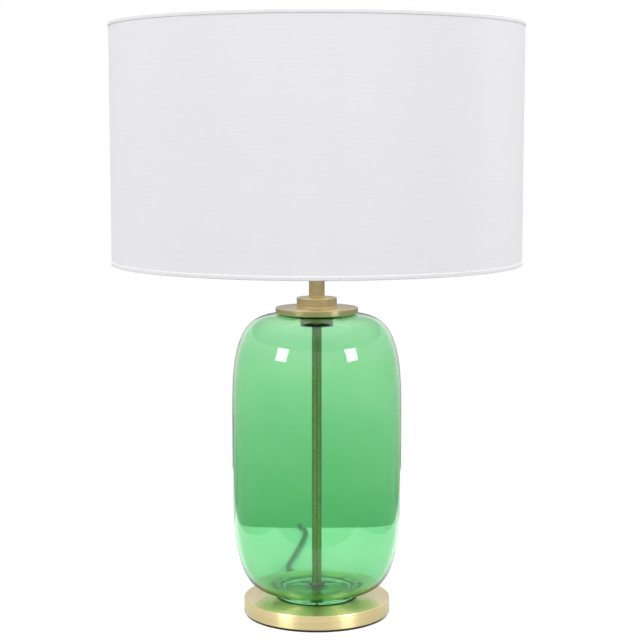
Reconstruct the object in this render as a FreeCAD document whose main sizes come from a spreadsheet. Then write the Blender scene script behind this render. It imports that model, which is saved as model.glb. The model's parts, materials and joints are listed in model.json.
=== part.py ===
"""Table lamp: blown glass bottle on a brass-finish foot, with a drum shade on an E27 lampholder.

Millimetres, +Z up.  The origin is the middle of the foot's underside, on the table.
-Y is the lamp's front; the cord leaves the foot at the back.
"""
import FreeCAD, Part
import math
import os
import Sketcher
from FreeCAD import Vector

doc = FreeCAD.newDocument("table_lamp")
sheet = doc.addObject("Spreadsheet::Sheet", "Sizes")
sub_parts = []

# ---------------------------------------------------------------- driving dimensions
SIZES = {
    # foot
    "pad_radius": 73.4, "pad_bore": 30.0, "pad_top": 2.6,
    "base_radius": 75.2, "base_top": 17.1, "cover_wall": 1.2, "base_edge": 0.8,
    "weight_radius": 73.7, "weight_top": 15.6, "recess_radius": 17.0, "recess_top": 11.2,
    "channel_width": 7.0, "channel_top": 8.4, "relief_bore": 4.4,
    # stem and its fastenings
    "stem_radius": 5.0, "stem_bore": 4.0, "stem_bottom": 6.5, "stem_top": 381.0,
    "clear_radius": 5.3, "nut_corner": 8.0, "nut_depth": 4.0, "washer_depth": 0.6,
    # glass bottle
    "gasket_depth": 0.8, "glass_radius": 86.3, "glass_top": 310.1, "glass_wall": 3.0,
    "shoulder_centre": 25.2, "shoulder_start": 190.6, "heel_centre": 47.2, "heel_start": 137.4,
    "heel_bottom": 26.5, "foot_radius": 38.5, "mouth_radius": 17.5, "hole_radius": 6.6,
    "hole_top": 27.0,
    # cap, collar and neck
    "plug_radius": 16.6, "plug_bottom": 299.8, "cap_radius": 41.8, "cap_bottom": 310.9,
    "cap_top": 316.8, "cap_edge": 1.4, "collar_radius": 20.4, "collar_rim": 21.2,
    "collar_top": 327.0, "neck_radius": 8.0, "neck_bore": 6.5, "neck_top": 372.0,
    # lampholder
    "holder_radius": 18.2, "thread_radius": 19.5, "holder_bore": 14.9, "seat_radius": 23.0,
    "seat_bottom": 391.0, "seat_top": 394.0, "holder_top": 428.0,
    # shade
    "shade_radius": 206.0, "shade_bottom": 362.0, "shade_top": 600.0, "fabric_wall": 0.7,
    "liner_wall": 0.8, "hem_wall": 0.5, "hem_depth": 3.8, "wire_radius": 1.6,
    "fitter_bore": 20.2, "fitter_radius": 27.0, "fitter_bottom": 394.3, "fitter_top": 396.3,
    # bulb
    "tip_bottom": 400.6, "tip_top": 402.4, "screw_radius": 13.2, "screw_bottom": 406.4,
    "screw_top": 430.0, "globe_radius": 30.0, "globe_middle": 480.0,
    # cord, switch and mains plug
    "cord_radius": 2.8, "cord_rest": 2.85,
}


def fill_sheet():
    """One row per size: its name and its plain number, which the name is an alias of."""
    for row, (name, number) in enumerate(SIZES.items(), start=1):
        sheet.set("A%d" % row, name)
        sheet.set("B%d" % row, str(number))
        sheet.setAlias("B%d" % row, name)
    doc.recompute()


# ---------------------------------------------------------------- sums of sizes
def amount(text):
    """The length that a sum such as "base_top - cover_wall + 0.3" stands for."""
    total = 0.0
    sign = 1
    for word in text.split():
        if word in ("+", "-"):
            sign = 1 if word == "+" else -1
        else:
            total += sign * (SIZES[word] if word in SIZES else float(word))
    return total


def signed(number):
    """A number as a sum; a negative one is taken from zero."""
    return str(number) if number >= 0 else "0 - " + str(-number)


def formula(text):
    """The same sum as an expression on the sheet's cells."""
    return " ".join("Sizes." + word if word in SIZES else word for word in text.split())


# ---------------------------------------------------------------- makers
def keep(thing, label):
    """Name a finished sub-part and put it on the list that is written out."""
    thing.Label = label
    sub_parts.append(thing)
    return thing


def origin_plane(body, role):
    """One of the body's own origin planes."""
    return next(f for f in body.Origin.OriginFeatures if f.Role == role)


def sketch_on(body, role, name):
    """An empty sketch on one of the body's origin planes."""
    sketch = body.newObject("Sketcher::SketchObject", name)
    sketch.AttachmentSupport = (origin_plane(body, role), [""])
    sketch.MapMode = "FlatFace"
    return sketch


def pin_point(sketch, line, end, across, up):
    """Hold one end of a line at a place given by two sums."""
    for kind, text in (("DistanceX", across), ("DistanceY", up)):
        if amount(text) == 0:
            axis = -2 if kind == "DistanceX" else -1
            sketch.addConstraint(Sketcher.Constraint("PointOnObject", line, end, axis))
        else:
            place = Sketcher.Constraint(kind, -1, 1, line, end, amount(text))
            number = sketch.addConstraint(place)
            sketch.setExpression("Constraints[%d]" % number, formula(text))


def draw_outline(sketch, corners):
    """A closed run of straight lines through corners given as pairs of sums."""
    points = [Vector(amount(across), amount(up), 0) for across, up in corners]
    first = sketch.GeometryCount
    count = len(corners)
    for i in range(count):
        sketch.addGeometry(Part.LineSegment(points[i], points[(i + 1) % count]), False)
    for i in range(count):
        after = first + (i + 1) % count
        sketch.addConstraint(Sketcher.Constraint("Coincident", first + i, 2, after, 1))
    for i, (across, up) in enumerate(corners):
        pin_point(sketch, first + i, 1, across, up)


def turned(label, corners, edges=(), edge_size=None):
    """A body turned about Z from its half outline; corners are (radius, height) sums.

    Circular edges named in edges by (radius, height) are rounded by edge_size.
    """
    body = doc.addObject("PartDesign::Body", label)
    sketch = sketch_on(body, "XZ_Plane", label + "_outline")
    draw_outline(sketch, corners)
    turn = body.newObject("PartDesign::Revolution", label + "_turn")
    turn.Profile = sketch
    turn.ReferenceAxis = (sketch, ["V_Axis"])
    turn.Angle = 360
    sketch.Visibility = False
    doc.recompute()
    if edges:
        soften(body, turn, edges, edge_size)
    return keep(body, label)


def circular_edges(shape, edges):
    """Names of the shape's full circles about Z at the given (radius, height) sums."""
    names = []
    for number, edge in enumerate(shape.Edges, start=1):
        if not isinstance(edge.Curve, Part.Circle):
            continue
        for radius, height in edges:
            same_radius = abs(edge.Curve.Radius - amount(radius)) < 0.01
            if same_radius and abs(edge.Curve.Center.z - amount(height)) < 0.01:
                names.append("Edge%d" % number)
    return names


def soften(body, feature, edges, size):
    """Round circular edges of a body's latest feature."""
    fillet = body.newObject("PartDesign::Fillet", body.Name + "_edge")
    fillet.Base = (feature, circular_edges(feature.Shape, edges))
    fillet.Radius = amount(size)
    fillet.setExpression("Radius", formula(size))
    doc.recompute()


def primitive(kind, name, place=None, **sizes):
    """A Part primitive whose sizes are sums on the sheet."""
    solid = doc.addObject("Part::" + kind, name)
    for which, text in sizes.items():
        setattr(solid, which, amount(text))
        solid.setExpression(which, formula(text))
    if place is not None:
        solid.Placement = place
    return solid


def cut(label, base, tools):
    """The base with each tool taken away."""
    result = base
    for number, tool in enumerate(tools):
        step = doc.addObject("Part::Cut", "%s_cut_%d" % (label, number))
        step.Base = result
        step.Tool = tool
        result = step
    doc.recompute()
    return keep(result, label)


def from_shape(label, shape):
    """A sub-part whose shape comes straight from Part's functions."""
    feature = doc.addObject("Part::Feature", label)
    feature.Shape = shape
    return keep(feature, label)


def at(x=0.0, y=0.0, z=0.0, turn=0.0):
    """A placement: moved, after a turn about Z in degrees."""
    return FreeCAD.Placement(Vector(x, y, z), FreeCAD.Rotation(Vector(0, 0, 1), turn))


# ---------------------------------------------------------------- paths and tubes
def turn_angle(before, point, after):
    """How far a route turns at a point, in radians."""
    return (point - before).getAngle(after - point)


def rounded_path(points, share=0.45):
    """Straight runs joined by tangent arcs; returns the wire and the arcs' radii.

    Each arc starts at the given share of its shorter run from the corner.
    """
    edges = []
    radii = []
    start = points[0]
    for i in range(1, len(points) - 1):
        before, point, after = points[i - 1], points[i], points[i + 1]
        shorter = min((point - before).Length, (after - point).Length)
        angle = turn_angle(before, point, after)
        back = (before - point).normalize()
        ahead = (after - point).normalize()
        reach = share * shorter
        radius = reach / math.tan(angle / 2)
        arc_start = point + back * reach
        arc_end = point + ahead * reach
        middle_way = (back + ahead).normalize()
        centre = point + middle_way * (radius / math.cos(angle / 2))
        middle = centre - middle_way * radius
        edges.append(Part.LineSegment(start, arc_start).toShape())
        edges.append(Part.Arc(arc_start, middle, arc_end).toShape())
        radii.append(radius)
        start = arc_end
    edges.append(Part.LineSegment(start, points[-1]).toShape())
    return Part.Wire(edges), radii


def tube(path, radius):
    """A round rod along a path, from its start to its end."""
    start = path.OrderedEdges[0]
    direction = start.tangentAt(start.FirstParameter)
    ring = Part.Circle(start.valueAt(start.FirstParameter), direction, radius)
    section = Part.Wire([ring.toShape()])
    return path.makePipeShell([section], True, False)


# ---------------------------------------------------------------- foot
CORD_TURN = 18.0                       # degrees from straight back, towards -X
CORD_OUT = Vector(-math.sin(math.radians(CORD_TURN)), math.cos(math.radians(CORD_TURN)), 0)
CORD_ANGLE = 90.0 + CORD_TURN          # the same direction, as an angle about Z
RELIEF_HEIGHT = 7.2
RELIEF_START = 60.0                    # inner end of the cord's bush, from the lamp's axis


def relief_hole(name, radius):
    """A round cutter along the cord's way out of the foot."""
    way = FreeCAD.Rotation(Vector(0, 0, 1), CORD_OUT)
    start = CORD_OUT * RELIEF_START + Vector(0, 0, RELIEF_HEIGHT)
    cutter = primitive("Cylinder", name, Radius=radius)
    cutter.Height = 30
    cutter.Placement = FreeCAD.Placement(start, way)
    return cutter


def make_base_pad():
    turned("base_pad", [("pad_bore", "0"), ("pad_radius", "0"), ("pad_radius", "pad_top"),
                        ("pad_bore", "pad_top")])


def make_base_weight():
    """Steel disc with a recess for the stem's nut and a channel for the leads."""
    disc = primitive("Cylinder", "weight_disc", at(z=SIZES["pad_top"]),
                     Radius="weight_radius", Height="weight_top - pad_top")
    bore = primitive("Cylinder", "weight_bore", Radius="clear_radius", Height="base_top")
    recess = primitive("Cylinder", "weight_recess", Radius="recess_radius", Height="recess_top")
    half = SIZES["channel_width"] / 2
    side = CORD_OUT.cross(Vector(0, 0, 1)) * half
    channel = primitive("Box", "weight_channel", at(side.x, side.y, 0, CORD_ANGLE),
                        Length="weight_radius + 5", Width="channel_width", Height="channel_top")
    cut("base_weight", disc, [bore, recess, channel, relief_hole("weight_relief", "relief_bore")])


def make_base_cover():
    """Spun metal cover: a shallow inverted cup over the weight."""
    inside = "base_radius - cover_wall"
    under = "base_top - cover_wall"
    body = doc.addObject("PartDesign::Body", "cover_body")
    sketch = sketch_on(body, "XZ_Plane", "cover_outline")
    draw_outline(sketch, [("clear_radius", under), (inside, under), (inside, "pad_top"),
                          ("base_radius", "pad_top"), ("base_radius", "base_top"),
                          ("clear_radius", "base_top")])
    turn = body.newObject("PartDesign::Revolution", "cover_turn")
    turn.Profile = sketch
    turn.ReferenceAxis = (sketch, ["V_Axis"])
    turn.Angle = 360
    doc.recompute()
    soften(body, turn, [("base_radius", "base_top")], "base_edge")
    cut("base_cover", body, [relief_hole("cover_relief", "relief_bore")])


def make_cord_relief():
    """Soft bush in the cover's skirt: a plain shank, a flange outside and a long taper."""
    bore = "cord_radius + 0.1"
    shank = "relief_bore - 0.1"
    body = turned("cord_relief", [(bore, "0"), (shank, "0"), (shank, "15.4"),
                                  ("relief_bore + 1", "15.4"), ("relief_bore + 1", "17.8"),
                                  ("cord_radius + 0.9", "38"), (bore, "38")])
    start = CORD_OUT * RELIEF_START + Vector(0, 0, RELIEF_HEIGHT)
    body.Placement = FreeCAD.Placement(start, FreeCAD.Rotation(Vector(0, 0, 1), CORD_OUT))


# ---------------------------------------------------------------- stem
def make_stem_tube():
    turned("stem_tube", [("stem_bore", "stem_bottom"), ("stem_radius", "stem_bottom"),
                         ("stem_radius", "stem_top"), ("stem_bore", "stem_top")])


def make_hex_nut(label, bottom):
    """M10 thin nut round the stem, its underside at the given height."""
    prism = doc.addObject("Part::Prism", label + "_hexagon")
    prism.Polygon = 6
    prism.setExpression("Circumradius", formula("nut_corner"))
    prism.setExpression("Height", formula("nut_depth"))
    prism.Placement = at(z=bottom)
    bore = primitive("Cylinder", label + "_bore", at(z=bottom - 1), Radius="stem_radius",
                     Height="nut_depth + 2")
    cut(label, prism, [bore])


def make_ring(label, inner, outer, bottom, top):
    """A plain washer or gasket."""
    turned(label, [(inner, bottom), (outer, bottom), (outer, top), (inner, top)])


def make_stem_fastenings():
    top = SIZES["recess_top"]
    make_ring("stem_washer", "clear_radius", "12", "recess_top - washer_depth", "recess_top")
    make_hex_nut("stem_nut", top - SIZES["washer_depth"] - SIZES["nut_depth"])
    make_hex_nut("cap_nut", SIZES["cap_top"])


# ---------------------------------------------------------------- glass bottle
def superellipse(centre, reach, rise, power, count=9):
    """Points of a quarter superellipse from (reach, 0) to (0, rise) about a centre."""
    points = []
    for i in range(count):
        angle = math.pi / 2 * i / (count - 1)
        across = reach * math.cos(angle) ** (2 / power)
        up = rise * math.sin(angle) ** (2 / power)
        points.append(Vector(centre[0] + across, 0, centre[1] + up))
    return points


def curve_through(points, first_way, last_way):
    """Smooth curve through points, with its directions at both ends."""
    curve = Part.BSplineCurve()
    curve.interpolate(Points=points, InitialTangent=first_way, FinalTangent=last_way)
    return curve.toShape()


def run_of_lines(points):
    """Straight edges from each point to the next."""
    return [Part.LineSegment(a, b).toShape() for a, b in zip(points, points[1:])]


def bottle_side(inset):
    """Edges of the wall's side, from the shoulder's top to the heel's bottom."""
    size = SIZES
    radius = size["glass_radius"] - inset
    shoulder_reach = radius - size["shoulder_centre"]
    shoulder_rise = size["glass_top"] - inset - size["shoulder_start"]
    shoulder = superellipse((size["shoulder_centre"], size["shoulder_start"]),
                            shoulder_reach, shoulder_rise, SHOULDER_POWER)
    heel_reach = radius - size["heel_centre"]
    heel_drop = size["heel_start"] - size["heel_bottom"] - HEEL_EXTRA * inset
    heel = superellipse((size["heel_centre"], size["heel_start"]),
                        heel_reach, -heel_drop, HEEL_POWER)
    down = Vector(0, 0, -1)
    inward = Vector(-1, 0, 0)
    upper = curve_through(shoulder[::-1], Vector(1, 0, 0), down)
    wall = Part.LineSegment(shoulder[0], heel[0]).toShape()
    lower = curve_through(heel, down, inward)
    return [upper, wall, lower]


SHOULDER_POWER = 3.65
HEEL_POWER = 2.8
HEEL_EXTRA = 4 / 3                     # the heel is this much thicker than the wall


def make_glass_body():
    """Blown bottle: broad shoulder, rounded heel, short ring foot and a hole for the stem."""
    size = SIZES
    foot = size["base_top"] + size["gasket_depth"]
    foot_radius = size["foot_radius"]
    wall = size["glass_wall"]
    mouth = size["mouth_radius"]
    outer = bottle_side(0)
    inner = bottle_side(wall)
    heel_end = Vector(size["heel_centre"], 0, size["heel_bottom"])
    floor_end = Vector(size["heel_centre"], 0, size["heel_bottom"] + HEEL_EXTRA * wall)
    rim_out = Vector(size["shoulder_centre"], 0, size["glass_top"])
    rim_in = Vector(size["shoulder_centre"], 0, size["glass_top"] - wall)
    underside = [heel_end, Vector(foot_radius + 3, 0, foot + 4.5), Vector(foot_radius + 1.5, 0, foot),
                 Vector(foot_radius - 1.5, 0, foot), Vector(foot_radius - 5, 0, foot + 2.5),
                 Vector(size["hole_radius"], 0, foot + 3.5),
                 Vector(size["hole_radius"], 0, size["hole_top"]),
                 Vector(foot_radius - 8, 0, size["hole_top"]), floor_end]
    top = [rim_in, Vector(mouth, 0, size["glass_top"] - wall), Vector(mouth, 0, size["glass_top"]),
           rim_out]
    edges = outer + run_of_lines(underside) + inner + run_of_lines(top)
    outline = Part.Wire(Part.__sortEdges__(edges))
    from_shape("glass_body", Part.Face(outline).revolve(Vector(), Vector(0, 0, 1), 360))


def make_glass_fittings():
    """The rings, bushes and washers that the bottle is clamped between."""
    make_ring("glass_gasket", "foot_radius - 4", "foot_radius + 3", "base_top",
              "base_top + gasket_depth")
    turned("bottom_bush", [("stem_radius", "base_top"), ("12", "base_top"),
                           ("12", "base_top + gasket_depth + 3.3"),
                           ("hole_radius - 0.2", "base_top + gasket_depth + 3.3"),
                           ("hole_radius - 0.2", "hole_top"), ("stem_radius", "hole_top")])
    make_ring("foot_washer", "stem_radius", "hole_radius + 1.4", "hole_top", "hole_top + 1")
    turned("foot_locknut", [("stem_radius", "hole_top + 1"), ("6.3", "hole_top + 1"),
                            ("6.3", "hole_top + 2.6"), ("stem_radius", "hole_top + 2.6")])
    make_ring("cap_gasket", "plug_radius + 1.2", "cap_radius - 3", "glass_top", "cap_bottom")
    turned("centring_plug", [("stem_radius", "plug_bottom"), ("plug_radius - 1", "plug_bottom"),
                             ("plug_radius", "plug_bottom + 1"), ("plug_radius", "cap_bottom"),
                             ("stem_radius", "cap_bottom")])


# ---------------------------------------------------------------- cap, collar and neck
def make_cap_disc():
    turned("cap_disc", [("clear_radius", "cap_bottom"), ("cap_radius", "cap_bottom"),
                        ("cap_radius", "cap_top"), ("clear_radius", "cap_top")],
           [("cap_radius", "cap_bottom")], "cap_edge")


def make_collar():
    """Turned cup over the cap nut, with a thin rim where it stands on the cap."""
    turned("collar", [("collar_radius - 1.6", "cap_top"), ("collar_rim", "cap_top"),
                      ("collar_rim", "cap_top + 0.9"), ("collar_radius", "cap_top + 1.2"),
                      ("collar_radius", "collar_top - 0.5"), ("collar_radius - 0.5", "collar_top"),
                      ("clear_radius", "collar_top"), ("clear_radius", "collar_top - 1.6"),
                      ("collar_radius - 1.6", "collar_top - 1.6")])


def make_neck_tube():
    turned("neck_tube", [("neck_bore", "collar_top"), ("neck_radius + 0.3", "collar_top"),
                         ("neck_radius + 0.3", "collar_top + 1.2"),
                         ("neck_radius", "collar_top + 1.5"), ("neck_radius", "neck_top"),
                         ("neck_bore", "neck_top")])


# ---------------------------------------------------------------- lampholder
def make_holder_cap():
    turned("holder_cap", [("stem_radius", "neck_top"), ("11", "neck_top"),
                          ("holder_radius", "neck_top + 7"), ("holder_radius", "seat_bottom"),
                          ("holder_radius - 2", "seat_bottom"),
                          ("holder_radius - 2", "neck_top + 8.5"),
                          ("10", "neck_top + 4"), ("stem_radius", "neck_top + 4")])


def make_holder_shell():
    """Outer skirt: a seat for the shade, then the outside thread of its clamping ring."""
    turned("holder_shell", [("holder_bore", "seat_bottom"), ("seat_radius", "seat_bottom"),
                            ("seat_radius", "seat_top"), ("thread_radius", "seat_top"),
                            ("thread_radius", "holder_top - 1.5"),
                            ("thread_radius - 1.5", "holder_top"), ("holder_bore", "holder_top")])


def make_holder_inside():
    """Ceramic core, screwed sleeve, contacts and terminal screws."""
    turned("holder_core", [("4.2", "stem_top + 2"), ("holder_bore - 0.6", "stem_top + 2"),
                           ("holder_bore - 0.6", "seat_top + 3"), ("4.2", "seat_top + 3")])
    turned("holder_sleeve", [("screw_radius + 0.6", "seat_top + 3.2"),
                             ("holder_bore - 0.2", "seat_top + 3.2"),
                             ("holder_bore - 0.2", "holder_top - 2"),
                             ("screw_radius + 0.6", "holder_top - 2")])
    contact = primitive("Box", "centre_contact", at(-3, -9, SIZES["seat_top"] + 3.2),
                        Length="6", Width="18", Height="0.8")
    keep(contact, "centre_contact")
    screws = [Part.makeCylinder(1.6, 5, Vector(side * 9, 0, SIZES["stem_top"] - 3.2))
              for side in (-1, 1)]
    from_shape("terminal_screws", Part.makeCompound(screws))


def make_clamp_ring():
    turned("clamp_ring", [("thread_radius + 0.1", "fitter_top + 0.3"),
                          ("fitter_bore + 5", "fitter_top + 0.3"),
                          ("fitter_bore + 5", "fitter_top + 3"),
                          ("thread_radius + 2", "fitter_top + 8"),
                          ("thread_radius + 0.1", "fitter_top + 8")])


# ---------------------------------------------------------------- shade
def make_shade_skins():
    """Fabric outside, stiff liner inside, and a folded hem over both edges of each."""
    inner = "shade_radius - fabric_wall"
    liner = "shade_radius - fabric_wall - liner_wall"
    edge = "hem_wall"
    make_ring("shade_fabric", inner, "shade_radius", "shade_bottom + " + edge, "shade_top - " + edge)
    make_ring("shade_liner", liner, inner, "shade_bottom + " + edge, "shade_top - " + edge)
    outside = "shade_radius + hem_wall"
    inside = liner + " - hem_wall"
    for label, tip, way in (("hem_top", "shade_top", "-"), ("hem_bottom", "shade_bottom", "+")):
        far = "%s %s hem_depth" % (tip, way)
        near = "%s %s hem_wall" % (tip, way)
        turned(label, [(inside, far), (liner, far), (liner, near), ("shade_radius", near),
                       ("shade_radius", far), (outside, far), (outside, tip), (inside, tip)])


SPOKES = 3
SPOKE_BEND_RADIUS = 168.0              # where a spoke leaves the level and drops to the ring
ring_radius = (SIZES["shade_radius"] - SIZES["fabric_wall"] - SIZES["liner_wall"]
               - SIZES["hem_wall"] - SIZES["wire_radius"] - 0.2)
low_ring = SIZES["shade_bottom"] + SIZES["wire_radius"] + 1.2
high_ring = SIZES["shade_top"] - SIZES["wire_radius"] - 1.2


def make_shade_wires():
    """Two hoops, the fitter ring and the spokes between it and the lower hoop."""
    make_ring("fitter_ring", "fitter_bore", "fitter_radius", "fitter_bottom", "fitter_top")
    for label, height in (("ring_top", high_ring), ("ring_bottom", low_ring)):
        hoop = doc.addObject("Part::Torus", label + "_hoop")
        hoop.Radius1 = ring_radius
        hoop.setExpression("Radius2", "Sizes.wire_radius")
        hoop.Placement = at(z=height)
        keep(hoop, label)
    level = (SIZES["fitter_bottom"] + SIZES["fitter_top"]) / 2
    points = [Vector(SIZES["fitter_radius"] - 0.6, 0, level), Vector(SPOKE_BEND_RADIUS, 0, level),
              Vector(ring_radius, 0, low_ring)]
    path, _ = rounded_path(points, 0.3)
    for number in range(SPOKES):
        spoke = from_shape("spoke_%d" % (number + 1), tube(path, SIZES["wire_radius"] - 0.2))
        spoke.Placement = at(turn=90 + 360 / SPOKES * number)


# ---------------------------------------------------------------- bulb
def make_bulb():
    """A60 bulb, in the pieces that show: contact, insulator, screw shell, globe, filaments."""
    turned("bulb_contact", [("0", "tip_bottom"), ("3.6", "tip_bottom"), ("4.6", "tip_top"),
                            ("0", "tip_top")])
    turned("bulb_insulator", [("0", "tip_top + 0.1"), ("5.2", "tip_top + 0.1"),
                              ("11", "screw_bottom"), ("0", "screw_bottom")])
    turned("bulb_screw", [("0", "screw_bottom"), ("screw_radius - 1.2", "screw_bottom"),
                          ("screw_radius", "screw_bottom + 1.6"), ("screw_radius", "screw_top"),
                          ("screw_radius - 0.5", "screw_top"),
                          ("screw_radius - 0.5", "screw_bottom + 2"), ("0", "screw_bottom + 2")])
    make_bulb_globe()
    make_bulb_filaments()


GLOBE_WALL = 0.8


def globe_outline(inset):
    """Curve of the globe from its neck to its top."""
    radius = SIZES["globe_radius"] - inset
    neck = SIZES["screw_radius"] - 0.6 - inset
    middle = SIZES["globe_middle"]
    points = [Vector(neck, 0, SIZES["screw_top"] - 2), Vector(neck + 1.4, 0, SIZES["screw_top"] + 8),
              Vector(radius * 0.82, 0, middle - 22), Vector(radius, 0, middle),
              Vector(radius * 0.71, 0, middle + radius * 0.71), Vector(0, 0, middle + radius)]
    return points, curve_through(points, Vector(0, 0, 1), Vector(-1, 0, 0))


def make_bulb_globe():
    outer_points, outer = globe_outline(0)
    inner_points, inner = globe_outline(GLOBE_WALL)
    neck = Part.LineSegment(inner_points[0], outer_points[0]).toShape()
    crown = Part.LineSegment(outer_points[-1], inner_points[-1]).toShape()
    outline = Part.Wire(Part.__sortEdges__([neck, outer, crown, inner]))
    from_shape("bulb_globe", Part.Face(outline).revolve(Vector(), Vector(0, 0, 1), 360))


def make_bulb_filaments():
    """Glass mount in the neck, with four straight filaments leaning out round it."""
    foot = SIZES["screw_bottom"] + 2
    mount = Part.makeCone(9, 3.2, 30, Vector(0, 0, foot))
    stalk = Part.makeCylinder(1.6, 34, Vector(0, 0, foot + 30))
    pieces = [mount.fuse(stalk).removeSplitter()]
    for number in range(4):
        angle = math.radians(90 * number + 45)
        way = Vector(math.cos(angle), math.sin(angle), 0)
        low = way * 11 + Vector(0, 0, foot + 34)
        high = way * 4.5 + Vector(0, 0, foot + 68)
        pieces.append(Part.makeCylinder(1.1, (high - low).Length, low, high - low))
    from_shape("bulb_filaments", Part.makeCompound(pieces))


# ---------------------------------------------------------------- wires inside the lamp
WIRE_RADIUS = 1.1
WIRE_HEIGHT = 5.1
WIRE_SIDE = 1.4
WIRE_BEND = 3.0


def make_inner_wires():
    """Two insulated leads: in along the foot's channel, then up inside the stem."""
    wires = []
    up = Vector(0, 0, 1)
    for side in (-1, 1):
        corner = CORD_OUT.cross(up) * (WIRE_SIDE * side) + up * WIRE_HEIGHT + CORD_OUT * 0.5
        outer = corner + CORD_OUT * (RELIEF_START - 0.6)
        top = corner + up * (SIZES["stem_top"] + 1.5 - WIRE_HEIGHT)
        bend_start = corner + CORD_OUT * WIRE_BEND
        bend_end = corner + up * WIRE_BEND
        bend_middle = corner + (CORD_OUT + up) * (WIRE_BEND * (1 - math.sqrt(0.5)))
        edges = [Part.LineSegment(outer, bend_start), Part.Arc(bend_start, bend_middle, bend_end),
                 Part.LineSegment(bend_end, top)]
        wires.append(tube(Part.Wire([edge.toShape() for edge in edges]), WIRE_RADIUS))
    from_shape("inner_wires", Part.makeCompound(wires))


# ---------------------------------------------------------------- mains cord
REST = SIZES["cord_rest"]              # height of the cord's middle where it lies on the table
SWITCH_X = -31.0
SWITCH_MIDDLE = 402.0
SWITCH_HALF = 31.0
SWITCH_HEIGHT = 6.5                    # height of the cord where it goes through the switch
SWITCH_GRIP = 4.0                      # how far the cord reaches into the switch
COIL_X = 6.1
COIL_Y = 483.0
COIL_INNER = 22.9
COIL_OUTER = 40.1
COIL_TOP = 11.6
PLUG_X = 48.1
PLUG_BACK = 417.0                      # where the cord goes into the plug
PLUG_LENGTH = 36.0
PLUG_HEIGHT = 7.0

LEAD_ROUTE = [                         # from inside the foot's bush to the switch
    CORD_OUT * RELIEF_START + Vector(0, 0, RELIEF_HEIGHT),
    CORD_OUT * 99 + Vector(0, 0, RELIEF_HEIGHT - 0.9),
    Vector(-33.6, 134, 3.1), Vector(-29.5, 174, REST), Vector(-25.4, 214, REST),
    Vector(-20.2, 255, REST), Vector(-16, 294, REST), Vector(-14.2, 328, REST),
    Vector(-24.5, 353, 4.1),
    Vector(SWITCH_X, SWITCH_MIDDLE - SWITCH_HALF + SWITCH_GRIP, SWITCH_HEIGHT),
]
TAIL_ROUTE = [                         # from the switch to the coil
    Vector(SWITCH_X, SWITCH_MIDDLE + SWITCH_HALF - SWITCH_GRIP, SWITCH_HEIGHT),
    Vector(-31.6, 449, 4.1), Vector(-31, 469, REST),
]
PLUG_ROUTE = [                         # from the coil, half round it, to the plug
    Vector(-31.3, 481, 8.3), Vector(-32.5, 499.2, 6.5), Vector(-23.9, 516.6, 3.9),
    Vector(-7.1, 526, REST), Vector(12.4, 527.6, REST), Vector(30.6, 520.7, REST),
    Vector(44.3, 506.8, REST), Vector(50.8, 488.5, REST), Vector(50.7, 470.2, REST),
    Vector(49.8, 452, 4.2), Vector(48.7, 434.5, 5.8), Vector(PLUG_X, PLUG_BACK, PLUG_HEIGHT),
]


def make_cord_run(label, route):
    """A stretch of round cord; prints its length, its arcs' radii and a check of its volume."""
    path, radii = rounded_path(route)
    shape = tube(path, SIZES["cord_radius"])
    section = math.pi * SIZES["cord_radius"] ** 2
    print("%s: length %.1f, radii %s, volume / (section x length) %.4f" % (
        label, path.Length, " ".join("%.0f" % radius for radius in radii),
        shape.Volume / (section * path.Length)))
    from_shape(label, shape)


def make_cord():
    make_cord_run("cord_lead", LEAD_ROUTE)
    make_cord_run("cord_tail", TAIL_ROUTE)
    make_cord_run("cord_plug_lead", PLUG_ROUTE)
    bevel = 2.0
    corners = [(COIL_INNER + bevel, 0), (COIL_OUTER - bevel, 0), (COIL_OUTER, bevel),
               (COIL_OUTER, COIL_TOP - bevel), (COIL_OUTER - bevel, COIL_TOP),
               (COIL_INNER + bevel, COIL_TOP), (COIL_INNER, COIL_TOP - bevel),
               (COIL_INNER, bevel)]
    coil = turned("cord_coil", [(str(radius), str(height)) for radius, height in corners])
    coil.Placement = at(COIL_X, COIL_Y)


# ---------------------------------------------------------------- switch on the cord
SWITCH_WIDE = 24.0
SWITCH_TALL = 16.0
SWITCH_WALL = 1.8
SWITCH_SPLIT = 8.0                     # height of the joint between its two shells
ROCKER_PIVOT = 12.3
ROCKER_REACH = 10.8                    # radius of the rocker's ends about its pivot
ROCKER_WIDE = 11.0
PIVOT_RADIUS = 1.2
SCREW_PLACES = ((7.2, 21.0), (-7.2, -21.0))


def switch_block(length, width, bottom, top):
    """A block centred on the switch."""
    corner = Vector(SWITCH_X - width / 2, SWITCH_MIDDLE - length / 2, bottom)
    return Part.makeBox(width, length, top - bottom, corner)


def switch_rod(x, y, bottom, top, radius):
    """An upright rod at a place measured from the switch's middle."""
    return Part.makeCylinder(radius, top - bottom, Vector(SWITCH_X + x, SWITCH_MIDDLE + y, bottom))


def switch_hull(bottom, top):
    """The switch's outside, with rounded upright corners, between two heights."""
    block = switch_block(2 * SWITCH_HALF, SWITCH_WIDE, bottom, top)
    upright = [edge for edge in block.Edges if abs(edge.tangentAt(0).z) > 0.9]
    return block.makeFillet(6, upright)


def cord_hole():
    """Cutter for the cord's way through the switch."""
    start = Vector(SWITCH_X, SWITCH_MIDDLE - SWITCH_HALF - 1, SWITCH_HEIGHT)
    radius = SIZES["cord_radius"] + 0.1
    return Part.makeCylinder(radius, 2 * SWITCH_HALF + 2, start, Vector(0, 1, 0))


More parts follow.
